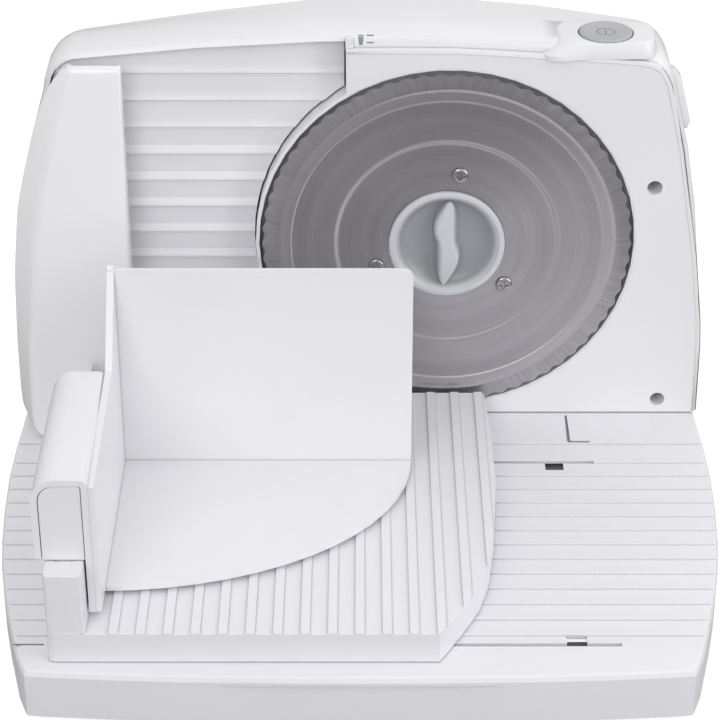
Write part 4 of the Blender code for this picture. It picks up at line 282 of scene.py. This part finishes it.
def finished(name, mesh, look, angle=40):
    """Merge doubles, drop collapsed faces, point faces outwards and shade smoothly."""
    body = bmesh.new()
    body.from_mesh(mesh)
    bmesh.ops.remove_doubles(body, verts=body.verts, dist=0.002 * MM)
    bmesh.ops.dissolve_degenerate(body, edges=body.edges, dist=0.001 * MM)
    bmesh.ops.recalc_face_normals(body, faces=body.faces)
    body.to_mesh(mesh)
    body.free()
    mesh.shade_smooth()
    mesh.set_sharp_from_angle(angle=radians(angle))
    piece = bpy.data.objects.new(name, mesh)
    bpy.context.scene.collection.objects.link(piece)
    mesh.materials.clear()
    mesh.materials.append(look)
    return piece


def stands_for(piece, *nodes):
    """The piece takes the place and the body of CAD nodes, which are hidden."""
    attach(piece, NODE_BODIES[nodes[0]])
    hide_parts(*nodes)
    return piece


def added(piece, body):
    """A small piece with no CAD node of its own."""
    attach(piece, body)
    return piece


def blend_in(low, high, value):
    """0 below low, 1 above high, and an even S between."""
    share = np.clip((value - low) / (high - low), 0.0, 1.0)
    return share * share * (3 - 2 * share)


def around_blade(radius, depth, angles):
    """Points on rings round the blade's axis: radius and depth may vary with row and column."""
    radius, depth = np.broadcast_arrays(radius, depth)
    return np.stack([BLADE_X + radius * np.cos(angles), depth, BLADE_Z + radius * np.sin(angles)], axis=-1)


def turned(name, profile, centre, look, axis="Y", steps=64):
    """A body of revolution: the (radius, height) profile, closed on itself, carried round an axis."""
    profile = np.array(profile, float)
    angles = np.linspace(0, tau, steps, endpoint=False)[None, :]
    radius, height = profile[:, :1], profile[:, 1:] + 0 * angles
    u, v = radius * np.cos(angles), radius * np.sin(angles)
    order = {"Y": (u, height, -v), "Z": (u, v, height), "X": (height, u, v)}[axis]
    points = np.stack(order, axis=-1) + np.array(centre)
    return surface(name, points, look, close_rows=True, close_columns=True)


def blade_disc():
    """The blade. Its front depth is a pressed flat middle, a short step at STEP_RADIUS, a shallow
    cone, a raised ring and a ground bevel; the bevel's radius and depth follow a cosine wave of
    BLADE_WAVES round the edge, growing from nothing halfway out."""
    angles = np.linspace(0, tau, BLADE_WAVES * 8, endpoint=False)[None, :]
    wave = np.cos(BLADE_WAVES * angles)
    flat = np.concatenate([
        np.linspace(BLADE_HOLE, STEP_RADIUS - 3.2 * MM, 6),
        np.linspace(STEP_RADIUS - 2.6 * MM, STEP_RADIUS + 0.6 * MM, 8),
        np.linspace(STEP_RADIUS + 1.2 * MM, RING_RADIUS - 1.0 * MM, 8),
        np.linspace(RING_RADIUS - 0.6 * MM, RING_RADIUS + 0.6 * MM, 5),
        np.linspace(RING_RADIUS + 1.2 * MM, BEVEL_RADIUS - 0.4 * MM, 4),
    ])[:, None]
    step = blend_in(STEP_RADIUS - 2.6 * MM, STEP_RADIUS + 0.6 * MM, flat)
    cone = np.clip((flat - STEP_RADIUS) / (RING_RADIUS - STEP_RADIUS), 0, 1)
    ring = blend_in(RING_RADIUS - 0.6 * MM, RING_RADIUS + 0.6 * MM, flat)
    front_depth = DISH * (1 - 0.45 * step - 0.22 * cone - 0.22 * ring)
    share = np.linspace(0, 1, 12)[:, None]
    cut = (1 - wave) / 2 * blend_in(0.2, 1.0, share)
    bevel = BEVEL_RADIUS + (BLADE_RADIUS - BEVEL_RADIUS) * share - WAVE_DEPTH * cut
    bevel_depth = DISH * 0.3 * share ** 1.4 + 0.35 * FLUTE_DEPTH * cut
    radius = np.concatenate([flat + 0 * angles, bevel])
    depth = np.concatenate([front_depth + 0 * angles, bevel_depth])
    thick = BLADE_THICKNESS * (1 - 0.75 * blend_in(BEVEL_RADIUS, BLADE_RADIUS, radius))
    back_rows = np.r_[len(radius) - 1:0:-6, 0]
    radius_all = np.concatenate([radius, radius[back_rows]])
    depth_all = np.concatenate([depth, (depth + thick)[back_rows]])
    piece = surface("blade_disc", around_blade(radius_all, BLADE_FRONT_Y + depth_all, angles), BLADE_STEEL,
                    close_rows=True, close_columns=True)
    return stands_for(piece, "blade")


def round_corner(start, corner, end, steps=5):
    """Points on a curve from start to end that is drawn towards the corner (a quadratic curve)."""
    t = np.linspace(0, 1, steps + 1)[:, None]
    start, corner, end = (np.array(point, float) for point in (start, corner, end))
    return ((1 - t) ** 2 * start + 2 * t * (1 - t) * corner + t ** 2 * end).tolist()


def knob_cup():
    """The lock knob's cup, turned from a profile with a rounded rim and a bowl whose floor is flat."""
    low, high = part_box("blade_lock_knob")
    front, back = low.y, high.y
    rim_inner = KNOB_RADIUS - KNOB_RIM
    floor = front + KNOB_DEPTH
    cup = 25.7 * MM
    soft = 0.9 * MM
    stand = front + 2.8 * MM
    profile = [(0.01 * MM, floor), (14.0 * MM, floor)]
    profile += round_corner((14.0 * MM, floor), (22.0 * MM, floor - 0.4 * MM), (24.2 * MM, front + 3.2 * MM))
    profile += [(rim_inner - 0.4 * MM, front + 1.0 * MM)]
    profile += round_corner((rim_inner - 0.2 * MM, front + soft), (rim_inner, front),
                            (rim_inner + soft, front))
    profile += round_corner((KNOB_RADIUS - soft, front), (KNOB_RADIUS, front), (KNOB_RADIUS, front + soft))
    profile += [(KNOB_RADIUS, stand), (cup, stand), (cup, floor + KNOB_WALL), (6.0 * MM, floor + KNOB_WALL),
                (6.0 * MM, back), (0.01 * MM, back)]
    return profile


def lock_knob():
    """The knob: its cup, and a leaf-shaped bar whose crest leans to the left above and to the right
    below. The bar is a height over a grid of length s and width t, both from -1 to 1:
    half width = GRIP_HALF_WIDTH (1 - |s|^3)^0.55, and the height falls off from the crest."""
    low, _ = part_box("blade_lock_knob")
    front = low.y
    cup = turned("lock_knob", knob_cup(), (BLADE_X, 0, BLADE_Z), KNOB_ABS, steps=96)
    s = np.linspace(-1, 1, 49)[:, None]
    t = np.linspace(-1, 1, 25)[None, :]
    width = GRIP_HALF_WIDTH * (1 - np.abs(s) ** 3) ** 0.55 + 0.5 * MM
    across = width * t
    lean = -0.30 * np.sin(pi * s) * (1 - s * s)
    side = np.abs(t - lean) / (1 + np.abs(lean))
    top = front + 0.5 * MM + 0.9 * MM * s ** 4
    depth = top + (KNOB_DEPTH - 0.2 * MM) * blend_in(0.30, 1.0, side) ** 1.5
    turn = radians(3)
    x = across * np.cos(turn) + s * GRIP_HALF * np.sin(turn)
    z = s * GRIP_HALF * np.cos(turn) - across * np.sin(turn)
    upper = np.stack([BLADE_X + x, depth, BLADE_Z + z], axis=-1)
    lower = upper.copy()
    lower[..., 1] = front + KNOB_DEPTH + 0.3 * MM
    rows = np.concatenate([upper, lower[:, ::-1]], axis=1)
    bar = surface("bar", rows, KNOB_ABS, close_columns=True)
    close_ends(bar)
    return stands_for(joined(cup, bar), "blade_lock_knob")


def close_ends(piece):
    """Fill the open ends of a tube with flat faces."""
    body = bmesh.new()
    body.from_mesh(piece.data)
    bmesh.ops.holes_fill(body, edges=[edge for edge in body.edges if edge.is_boundary])
    bmesh.ops.recalc_face_normals(body, faces=body.faces)
    body.to_mesh(piece.data)
    body.free()


def joined(piece, *others):
    """Other pieces' meshes added to the first piece's."""
    body = bmesh.new()
    body.from_mesh(piece.data)
    for other in others:
        body.from_mesh(other.data)
        bpy.data.objects.remove(other, do_unlink=True)
    body.to_mesh(piece.data)
    body.free()
    piece.data.shade_smooth()
    piece.data.set_sharp_from_angle(angle=radians(40))
    return piece


def screw_head(name, node, axis, radius, height, facing, look=SCREW_STEEL):
    """A pan-head screw with a cross recess, in place of a plain one. The head is a dome on a polar
    grid, r from 0 to 1: height (1 - r^4)^0.5, less the cross, which is deep where |u| or |v| is
    small and fades out at 0.62 of the radius."""
    low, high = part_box(node)
    middle = (low + high) / 2
    angles = np.linspace(0, tau, 64, endpoint=False)[None, :]
    r = np.concatenate([[0.0005], np.linspace(0.05, 1.0, 24)])[:, None]
    u, v = r * np.cos(angles), r * np.sin(angles)
    arm = np.minimum(np.abs(u), np.abs(v))
    cross = (1 - blend_in(0.09, 0.17, arm)) * (1 - blend_in(0.50, 0.62, r + 0 * angles))
    dome = height * np.sqrt(np.clip(1 - r ** 4, 0, 1)) - height * 0.75 * cross
    shank_radius, shank_end = radius * 0.37, (high - low)["XYZ".index(axis)] - height
    tail = np.array([(radius, 0.0), (shank_radius, 0.0), (shank_radius, -shank_end),
                     (0.0005 * radius, -shank_end)])
    radii = np.concatenate([r * radius + 0 * angles, tail[:, :1] + 0 * angles])
    rises = np.concatenate([dome, tail[:, 1:] + 0 * angles])
    across, up = radii * np.cos(angles), radii * np.sin(angles)
    seat = (low if facing < 0 else high)["XYZ".index(axis)] - facing * height
    forward = seat + facing * rises
    spots = {"Y": (middle.x + across, forward, middle.z + up),
             "Z": (middle.x + across, middle.y + up, forward)}
    piece = surface(name, np.stack(spots[axis], axis=-1), look, close_rows=True, close_columns=True)
    return stands_for(piece, node)


def screws():
    """Cross-recessed heads for the blade, the front cover and the bottom cover."""
    for i in (1, 2, 3):
        screw_head(f"blade_pan_screw_{i}", f"blade_screw_{i}", "Y", 4.3 * MM, 1.2 * MM, -1)
    for i in (1, 2):
        screw_head(f"cover_pan_screw_{i}", f"front_cover_screw_{i}", "Y", 2.9 * MM, 1.5 * MM, -1)
    for i in (1, 2, 3, 4):
        screw_head(f"bottom_pan_screw_{i}", f"bottom_cover_screw_{i}", "Z", 2.9 * MM, 1.5 * MM, -1)


def softened(node, name, edge=0.4 * MM, angle=35, segments=2):
    """A copy of a CAD solid with loose corners merged, flat faces made whole, narrow rounds on its
    sharp edges, and smooth shading over its gentle bends."""
    mesh = frame["nodes"][node].data.copy()
    body = bmesh.new()
    body.from_mesh(mesh)
    bmesh.ops.remove_doubles(body, verts=body.verts, dist=0.005 * MM)
    bmesh.ops.dissolve_limit(body, angle_limit=radians(0.6), verts=body.verts, edges=body.edges)
    body.to_mesh(mesh)
    body.free()
    mesh.materials.clear()
    mesh.materials.append(NODE_LOOKS.get(node, SLOT_LOOKS[NODE_SLOTS[node]]))
    mesh.shade_smooth()
    mesh.set_sharp_from_angle(angle=radians(angle))
    piece = bpy.data.objects.new(name, mesh)
    bpy.context.scene.collection.objects.link(piece)
    if edge:
        bevel = piece.modifiers.new("edge", "BEVEL")
        bevel.width = edge
        bevel.segments = segments
        bevel.limit_method = "ANGLE"
        bevel.angle_limit = radians(angle)
        flats = piece.modifiers.new("flats", "WEIGHTED_NORMAL")
        flats.weight = 100
        flats.keep_sharp = True
    return stands_for(piece, node)


def along(value, table):
    """A smooth reading of a table of (value, result) pairs, in rising order of value: a straight
    reading averaged over a window of 14 mm."""
    values, results = np.array(table, float).T * MM
    window = np.linspace(-7 * MM, 7 * MM, 9)
    return np.mean([np.interp(value + shift, values, results) for shift in window], axis=0)


# The guard's fold and rear edge, (height, x) in mm, read off the photo through the fitted camera.
GUARD_WALL = 1.8 * MM
GUARD_FOLD = [(31, -171.5), (77, -170.9), (100, -168.5), (138, -165.0), (162, -161.2), (187, -155.2),
              (219, -146.5), (229, -144.0), (237, -140.6)]
GUARD_REAR = [(31, -179.0), (42, -180.2), (76, -180.0), (118, -178.3), (157, -173.9), (175, -169.5),
              (203, -162.0), (214, -157.8), (224, -153.1), (233, -146.3), (237, -140.9)]


def guard_shield():
    """The milky guard as one wall on a grid: rows by height z, columns from its right flange over
    the leaning face and round the fold to its rear edge, and back on the inside. The fold and the
    rear edge follow GUARD_FOLD and GUARD_REAR and meet at the top; the foot's corner is a round."""
    low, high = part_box("hand_guard")
    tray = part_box("carriage_tray")[0].x - 0.7 * MM
    step = 48.6 * MM
    z = np.unique(np.concatenate([np.linspace(low.z, low.z + 10 * MM, 9), [step - 0.02 * MM, step],
                                  np.linspace(step + 2 * MM, high.z, 44)]))[:, None]
    back = high.y
    face = back - 23.0 * MM + 19.0 * MM * (z - low.z) / (high.z - low.z)
    foot = 1 - np.sqrt(1 - np.clip((low.z + 10 * MM - z) / (10 * MM), 0, 1) ** 2)
    fold = along(z, GUARD_FOLD) + 7 * MM * foot
    rear = np.minimum(along(z, GUARD_REAR) + 4 * MM * foot, fold - 0.3 * MM)
    right = np.where(z < step, tray, high.x)
    soft = np.minimum(3 * MM, (back - face) / 3)
    t = np.linspace(0, 1, 7)[None, 1:-1]
    turn = (1 - t) ** 2, 2 * t * (1 - t), t ** 2

    def bend(start, corner, end):
        return sum(weight * point for weight, point in zip(turn, (start, corner, end)))

    def wall_line(inset):
        edge, front = right - inset, face + inset
        lean = (rear - fold) / (back - face)
        crease = fold + inset * (np.sqrt(1 + lean ** 2) + lean)
        tail = rear + inset * np.sqrt(1 + lean ** 2)
        x = [edge, edge, bend(edge, edge, edge - soft), edge - soft, crease + soft,
             bend(crease + soft, crease, crease + lean * soft), crease + lean * soft, tail]
        y = [back + 0 * z, front + soft, bend(front + soft, front, front), front, front,
             bend(front, front, front + soft), front + soft, back + 0 * z]
        return [np.concatenate([part + 0 * z for part in axis], axis=1) for axis in (x, y)]

    outer, inner = wall_line(0.0), wall_line(GUARD_WALL)
    x, y = (np.concatenate([a, b[:, ::-1]], axis=1) for a, b in zip(outer, inner))
    piece = surface("guard_shield", np.stack([x, y, z + 0 * x], axis=-1), MILKY, close_columns=True)
    close_ends(piece)
    return stands_for(piece, "hand_guard")


BEND_START = 90 * MM
LEFT_DROP = 9.5 * MM
RIGHT_DROP = 5.0 * MM


def drawn_back(piece):
    """The rear shell's top falls away towards its back corners: a point sinks by the product of how
    far back, how far out and how high up it lies, more on the left than on the right. The mesh is
    cut across first, so that the bend starts behind the thickness plate."""
    mesh = piece.data
    body = bmesh.new()
    body.from_mesh(mesh)
    for place in np.linspace(BEND_START, 120 * MM, 5):
        geometry = body.verts[:] + body.edges[:] + body.faces[:]
        bmesh.ops.bisect_plane(body, geom=geometry, plane_co=(0, place, 0), plane_no=(0, 1, 0))
    body.to_mesh(mesh)
    body.free()
    spots = np.empty(len(mesh.vertices) * 3, np.float32)
    mesh.vertices.foreach_get("co", spots)
    spots = spots.reshape(-1, 3)
    x, y, z = spots.T
    behind, far = blend_in(BEND_START, 127 * MM, y), blend_in(99 * MM, 127 * MM, y)
    up = blend_in(205 * MM, 240 * MM, z)
    left, right = blend_in(-10 * MM, 160 * MM, -x), blend_in(40 * MM, 160 * MM, x)
    spots[:, 2] -= up * (LEFT_DROP * behind * left + RIGHT_DROP * far * right)
    mesh.vertices.foreach_set("co", spots.ravel())
    mesh.update()
    return piece


PAD_TOP = 242.7 * MM
BUTTON_PLACE = (122.0 * MM, 81.5 * MM)
CAP_STAND = 0.9 * MM


def power_cap():
    """The power button's cap, turned from a profile: a shallow dish inside a rounded rim, standing
    CAP_STAND over its pad."""
    low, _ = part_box("power_button")
    top, radius = PAD_TOP + CAP_STAND, 13.3 * MM
    profile = [(0.01 * MM, top - 0.7 * MM), (6 * MM, top - 0.6 * MM), (10.6 * MM, top - 0.25 * MM)]
    profile += round_corner((11.4 * MM, top), (radius, top), (radius, top - 1.1 * MM))
    profile += [(radius, low.z), (0.01 * MM, low.z)]
    piece = turned("power_cap", profile, (*BUTTON_PLACE, 0), BUTTON_GREY, "Z", steps=72)
    return stands_for(piece, "power_button")


def button_pad():
    """The pad round the power button: rings that run from the button's round hole to a rounded
    rectangle, |u|^5 + |v|^5 = 1, and down a sloping skirt to the cover's top edge."""
    angles = np.linspace(0, tau, 96, endpoint=False)
    hole = 13.75 * MM
    ring = np.stack([np.cos(angles), np.sin(angles)], axis=-1)
    square = ring / (np.abs(ring) ** 5).sum(axis=1, keepdims=True) ** 0.2
    front, back, half = 66.9 * MM, 96.9 * MM, 23.5 * MM
    middle = np.array([BUTTON_PLACE[0], (front + back) / 2])
    outline = middle + square * np.array([half, (back - front) / 2])
    inner = np.array(BUTTON_PLACE) + ring * hole
    soft = 0.6 * MM
    rows = [(inner, PAD_TOP - 5 * MM), (inner, PAD_TOP - 0.25 * MM), (inner + ring * 0.25 * MM, PAD_TOP)]
    rows += [(outline - (outline - middle) * soft * 1.6 / half, PAD_TOP)]
    rows += [(outline - (outline - middle) * soft * 0.5 / half, PAD_TOP - soft * 0.3)]
    slope = (1.3 + 8.0 * blend_in(0.3, 1.0, -square[:, :1])) * MM
    skirt = outline + (outline - middle) / half * slope
    rows += [(outline, PAD_TOP - soft * 0.8), (skirt, PAD_TOP - 5.5 * MM), (skirt, PAD_TOP - 8.0 * MM),
             (inner, PAD_TOP - 8.0 * MM)]
    points = np.stack([np.column_stack([flat, np.full(len(flat), height)]) for flat, height in rows])
    piece = surface("button_pad", points, WHITE_ABS, close_rows=True, close_columns=True)
    return added(piece, "body")


def slab(name, low, high, look, body, axis=1):
    """A thin block with rounded corners, |u|^6 + |v|^6 = 1 in the plane across the given axis, and
    soft rims at both of its faces."""
    low, high = np.array(low) * MM, np.array(high) * MM
    middle, half = (low + high) / 2, (high - low) / 2
    angles = np.linspace(0, tau, 48, endpoint=False)
    ring = np.stack([np.cos(angles), np.sin(angles)], axis=-1)
    square = ring / (np.abs(ring) ** 6).sum(axis=1, keepdims=True) ** (1 / 6)
    first, second = [i for i in range(3) if i != axis]
    soft = 0.4 * MM
    rows = []
    rims = (-1, soft * 1.5), (-1, soft * 0.5), (-1, 0), (1, 0), (1, soft * 0.5), (1, soft * 1.5)
    for place, inset in rims:
        row = np.zeros((len(angles), 3))
        row[:, first] = middle[first] + square[:, 0] * (half[first] - inset)
        row[:, second] = middle[second] + square[:, 1] * (half[second] - inset)
        row[:, axis] = middle[axis] + place * (half[axis] - (soft if inset == 0 else 0))
        rows.append(row)
    piece = surface(name, np.stack(rows), look, close_columns=True)
    close_ends(piece)
    return added(piece, body)


# The front cover's upper and right-hand edge, (x, z) in mm, picked from its solid's corners.
COVER_EDGE = [(-6.2, 239.0), (16.4, 239.2), (45.0, 239.0), (69.8, 237.8), (92.5, 236.2), (111.8, 234.9),
              (127.2, 233.7), (137.6, 232.9), (144.5, 231.7), (148.7, 229.4), (151.4, 225.8), (154.0, 220.4),
              (162.3, 185.4), (167.3, 156.8), (173.2, 123.1), (177.7, 87.1), (178.8, 71.0), (179.3, 31.0)]


def cover_edges():
    """A fine bead just inside the cover's upper and right-hand edge, a dark line painted as the
    shadow in the seam between the cover and the rear shell, and the shell's small web above the cover's upper
    left corner."""
    edge = np.array(COVER_EDGE) * MM
    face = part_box("front_cover")[0].y
    outward = np.gradient(edge, axis=0)
    outward = np.stack([-outward[:, 1], outward[:, 0]], axis=-1)
    outward /= np.linalg.norm(outward, axis=1, keepdims=True)
    for name, shift, depth, first, half, height, look, slot in (
            ("cover_bead", -0.9, 0.0, 0, 0.5, 0.35, WHITE_ABS, "white_plastic"),
            ("painted_seam_shadow", 0.75, 0.55, 9, 0.3, 0.1, PAINTED_SHADE_GREY, "grey_plastic")):
        line = (edge + outward * shift * MM)[first:]
        line = np.stack([line[:, 0], np.full(len(line), face + depth * MM), line[:, 1]], axis=-1)
        round_line(name, line, half * MM, height * MM, look, "body", (0, -1, 0))
    slab("corner_web", (-7.2, 67.2, 238.6), (-3.2, 71.8, 245.4), WHITE_ABS, "body")


FRONT_SLOT_Y = -136.0
REAR_SLOT_Y = 19.0


def base_details():
    """Painted shade: dark beds under the two notches, a dark line at the front slot's far left end,
    and dark lines for the shadowed gap of the loading flap at the rear of the base."""
    z = BASE_TOP + 0.04 * MM
    for name, y in (("front_slot_shade", FRONT_SLOT_Y), ("rear_slot_shade", REAR_SLOT_Y)):
        slab(name, (92, y - 9, 21.8), (114, y + 9, 24.2), PAINTED_SHADE_GREY, "body", axis=2)
    for name, start, end, half in (("slot_end_shade", (-160.5, FRONT_SLOT_Y), (-146.5, FRONT_SLOT_Y), 0.5),
                                   ("flap_gap_shade", (110.1, 62.6), (109.6, 37.7), 0.45),
                                   ("flap_foot_shade", (109.8, 37.3), (120.5, 37.0), 0.5)):
        line = np.linspace((*np.array(start) * MM, z), (*np.array(end) * MM, z), 5)
        round_line(name, line, half * MM, 0.08 * MM, PAINTED_SHADE_GREY, "body")


def round_line(name, points, half_width, height, look, body, normal=(0, 0, 1)):
    """A raised line, for print, beads and painted shade lines: a half-round profile of half_width and
    height, carried along points in a plane with the given normal."""
    points, normal = np.array(points, float), np.array(normal, float)
    forward = np.gradient(points, axis=0)
    forward /= np.linalg.norm(forward, axis=1, keepdims=True)
    side = np.cross(forward, normal)
    around = np.linspace(0, pi, 7)
    rows = (points[:, None, :] + side[:, None, :] * half_width * np.cos(around)[None, :, None]
            + normal * height * np.sin(around)[None, :, None])
    piece = surface(name, rows, look, close_columns=True)
    close_ends(piece)
    return added(piece, body)


def switch_symbol():
    """A plain ring with a stroke in it on the power button, as the sign for on and off."""
    (x, y), z = BUTTON_PLACE, PAD_TOP + CAP_STAND - 0.66 * MM
    angles = np.linspace(0, tau, 41)
    radius = 4.3 * MM
    ring = np.stack([x + radius * np.cos(angles), y + radius * np.sin(angles), 0 * angles + z], axis=-1)
    round_line("switch_ring", ring, 0.42 * MM, 0.12 * MM, PRINT_GREY, "power_button")
    stroke = np.linspace((x, y - 2.6 * MM, z), (x, y + 2.6 * MM, z), 5)
    round_line("switch_stroke", stroke, 0.42 * MM, 0.12 * MM, PRINT_GREY, "power_button")


def dial_scale():
    """Strokes on the housing's back round the thickness dial, long at every third one, and a
    pointer on the dial's face."""
    low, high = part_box("thickness_dial")
    x, z, back = (low.x + high.x) / 2, (low.z + high.z) / 2, low.y - 0.32 * MM
    for i, angle in enumerate(np.radians(np.linspace(-126, 144, 10) + 90)):
        inner, outer = 26.5 * MM, (31.5 if i % 3 == 0 else 29.5) * MM
        reach = np.linspace(inner, outer, 4)
        stroke = np.stack([x + reach * np.cos(angle), 0 * reach + back, z + reach * np.sin(angle)], axis=-1)
        round_line(f"scale_stroke_{i + 1}", stroke, 0.45 * MM, 0.25 * MM, PRINT_GREY, "body",
                   (0, 1, 0))
    reach = np.linspace(9 * MM, 19 * MM, 5)
    pointer = np.stack([x + 0 * reach, 0 * reach + high.y - 0.02 * MM, z + reach], axis=-1)
    round_line("dial_pointer", pointer, 0.9 * MM, 0.35 * MM, PRINT_GREY, "dial", (0, 1, 0))


def setting_marks():
    """The printed marks on the rounded front edge of the housing's top, over the thickness plate's
    end: one broad bar and two short strokes beside it, laid on the shell along a slanting line."""
    shell = bpy.data.objects["rear_shell"]
    tree = BVHTree.FromPolygons([vertex.co for vertex in shell.data.vertices],
                                [list(polygon.vertices) for polygon in shell.data.polygons])
    slant = Vector((0, 0.859, -0.512))

    def laid(x, z):
        start = Vector((x * MM, 70.5 * MM, z * MM)) - slant * 0.1
        return tree.ray_cast(start, slant)[0] + Vector((0, -0.02 * MM, 0.03 * MM))

    look, normal = PRINT_GREY, (0, -0.6, 0.8)
    bar = [laid(0.4, z) for z in np.linspace(240.3, 246.0, 9)]
    round_line("setting_bar", bar, 1.45 * MM, 0.06 * MM, look, "body", normal)
    for i, z in enumerate((245.6, 241.9)):
        stroke = [laid(x, z) for x in np.linspace(3.4, 6.8, 4)]
        round_line(f"setting_stroke_{i + 1}", stroke, 0.55 * MM, 0.06 * MM, look, "body",
                   normal)


SOFT_NODES = {
    "housing_shell": ("rear_shell", 0.0, 38), "front_cover": ("cover_panel", 0.35 * MM, 38),
    "base_tray": ("ribbed_base", 0.25 * MM, 38), "carriage_tray": ("sliding_table", 0.3 * MM, 38),
    "food_pusher": ("pusher_moulding", 0.5 * MM, 40), "grip_insert": ("grip_end", 0.4 * MM, 40),
    "guide_plate": ("thickness_plate", 0.25 * MM, 30), "thickness_dial": ("dial_knob", 0.3 * MM, 50),
    "safety_button": ("safety_cap", 0.0, 40), "blade_hub": ("hub_casting", 0.2 * MM, 40),
    "blade_gear": ("worm_wheel", 0.15 * MM, 50), "gearbox_frame": ("gearbox_casting", 0.4 * MM, 40),
    "motor_armature": ("wound_armature", 0.3 * MM, 40), "motor_stator": ("motor_stack", 0.3 * MM, 40),
    "cord_gland": ("rubber_gland", 0.3 * MM, 40),
}


def plain_nodes():
    """Every CAD solid that keeps its own mesh gets its finish."""
    for node, piece in frame["nodes"].items():
        piece.data.materials.clear()
        piece.data.materials.append(NODE_LOOKS.get(node, SLOT_LOOKS[NODE_SLOTS[node]]))


def stage_plane(name, corners, look):
    """A flat part of the studio."""
    mesh = bpy.data.meshes.new(name)
    mesh.from_pydata(corners, [], [(0, 1, 2, 3)])
    mesh.materials.append(look)
    plane = bpy.data.objects.new(name, mesh)
    bpy.context.scene.collection.objects.link(plane)


def pale_floor():
    """A white table top that keeps the slicer's soft shadow, lifted to white where the camera sees it."""
    material, tree, shader, place = start_material("pale_floor", 0.7)
    grain = add(tree, "TexNoise", {"Vector": (place, "Object"), "Scale": 6.0})
    two_tones(tree, shader, (grain, "Fac"), "#88888a", "#8c8c8e")
    path = add(tree, "LightPath")
    lift = add(tree, "Math", {0: (path, "Is Camera Ray"), 1: FLOOR_LIFT}, operation="MULTIPLY")
    shader.inputs["Emission Color"].default_value = (1, 1, 1, 1)
    tree.links.new(lift.outputs["Value"], shader.inputs["Emission Strength"])
    return material


def white_world():
    """Even white light; the camera sees plain white, and what shines sees a room that is brighter
    on the right than on the left."""
    world = bpy.data.worlds.new("studio")
    bpy.context.scene.world = world
    world.use_nodes = True
    tree = world.node_tree
    path = add(tree, "LightPath")
    seen = add(tree, "Math", {0: (path, "Is Camera Ray"), 1: (path, "Is Transmission Ray")},
               operation="MAXIMUM")
    aim = add(tree, "TexCoord")
    across = add(tree, "SeparateXYZ", {"Vector": (aim, "Generated")})
    room = add(tree, "MapRange", {"Value": (across, "X"), "From Min": -0.7, "From Max": 0.7,
                                  "To Min": WORLD_SHINE - SHINE_SLANT, "To Max": WORLD_SHINE + SHINE_SLANT})
    shine = add(tree, "Mix", {"Factor": (path, "Is Glossy Ray"), "A": WORLD_LIGHT, "B": (room, "Result")})
    strength = add(tree, "Mix", {"Factor": (seen, "Value"), "A": (shine, "Result"), "B": 1.0})
    background = tree.nodes["Background"]
    background.inputs["Color"].default_value = (1, 1, 1, 1)
    tree.links.new(strength.outputs["Result"], background.inputs["Strength"])


def softbox(name, place, aim, size, power):
    """A square soft lamp that points at a spot."""
    lamp = bpy.data.lights.new(name, "AREA")
    lamp.shape = "RECTANGLE"
    lamp.size, lamp.size_y = size
    lamp.energy = power
    holder = bpy.data.objects.new(name, lamp)
    holder.location = place
    direction = Vector(aim) - Vector(place)
    holder.rotation_euler = direction.to_track_quat("-Z", "Y").to_euler()
    bpy.context.scene.collection.objects.link(holder)


def studio():
    """Floor, light and camera. The camera stands 30.8 degrees above the slicer, at about a metre."""
    wide = 4.0
    corners = [(-wide, -wide, 0), (wide, -wide, 0), (wide, wide, 0), (-wide, wide, 0)]
    stage_plane("floor", corners, pale_floor())
    white_world()
    softbox("key", (-0.45, -1.35, 0.95), (0.0, 0.0, 0.10), (0.7, 0.7), KEY_POWER)
    softbox("side", (1.05, -0.55, 0.55), (0.05, 0.05, 0.12), (0.35, 0.9), SIDE_POWER)
    softbox("back", (0.3, 1.3, 1.2), (0.0, 0.1, 0.12), (0.9, 0.5), BACK_POWER)
    lens = bpy.data.cameras.new("camera")
    lens.sensor_width = SENSOR_WIDTH
    lens.lens = LENS_LENGTH
    lens.clip_end = 20.0
    camera = bpy.data.objects.new("camera", lens)
    camera.location = CAMERA_PLACE
    camera.rotation_euler = (CAMERA_TILT, 0, 0)
    bpy.context.scene.collection.objects.link(camera)
    bpy.context.scene.camera = camera
    bpy.context.scene.view_settings.view_transform = "Standard"


FLOOR_LIFT = 0.88
WORLD_LIGHT = 0.87
WORLD_SHINE = 0.62
SHINE_SLANT = 0.25
KEY_POWER = 5.5
SIDE_POWER = 4.0
BACK_POWER = 0.6
CAMERA_PLACE = 0.0, -0.999, 0.6974
CAMERA_TILT = radians(59.2)
LENS_LENGTH = 116.95
SENSOR_WIDTH = 36.0

plain_nodes()
blade_disc()
lock_knob()
screws()
for node, (name, edge, angle) in SOFT_NODES.items():
    piece = softened(node, name, edge, angle)
    if node == "housing_shell":
        drawn_back(piece)
guard_shield()
power_cap()
button_pad()
switch_symbol()
dial_scale()
setting_marks()
cover_edges()
base_details()
studio()
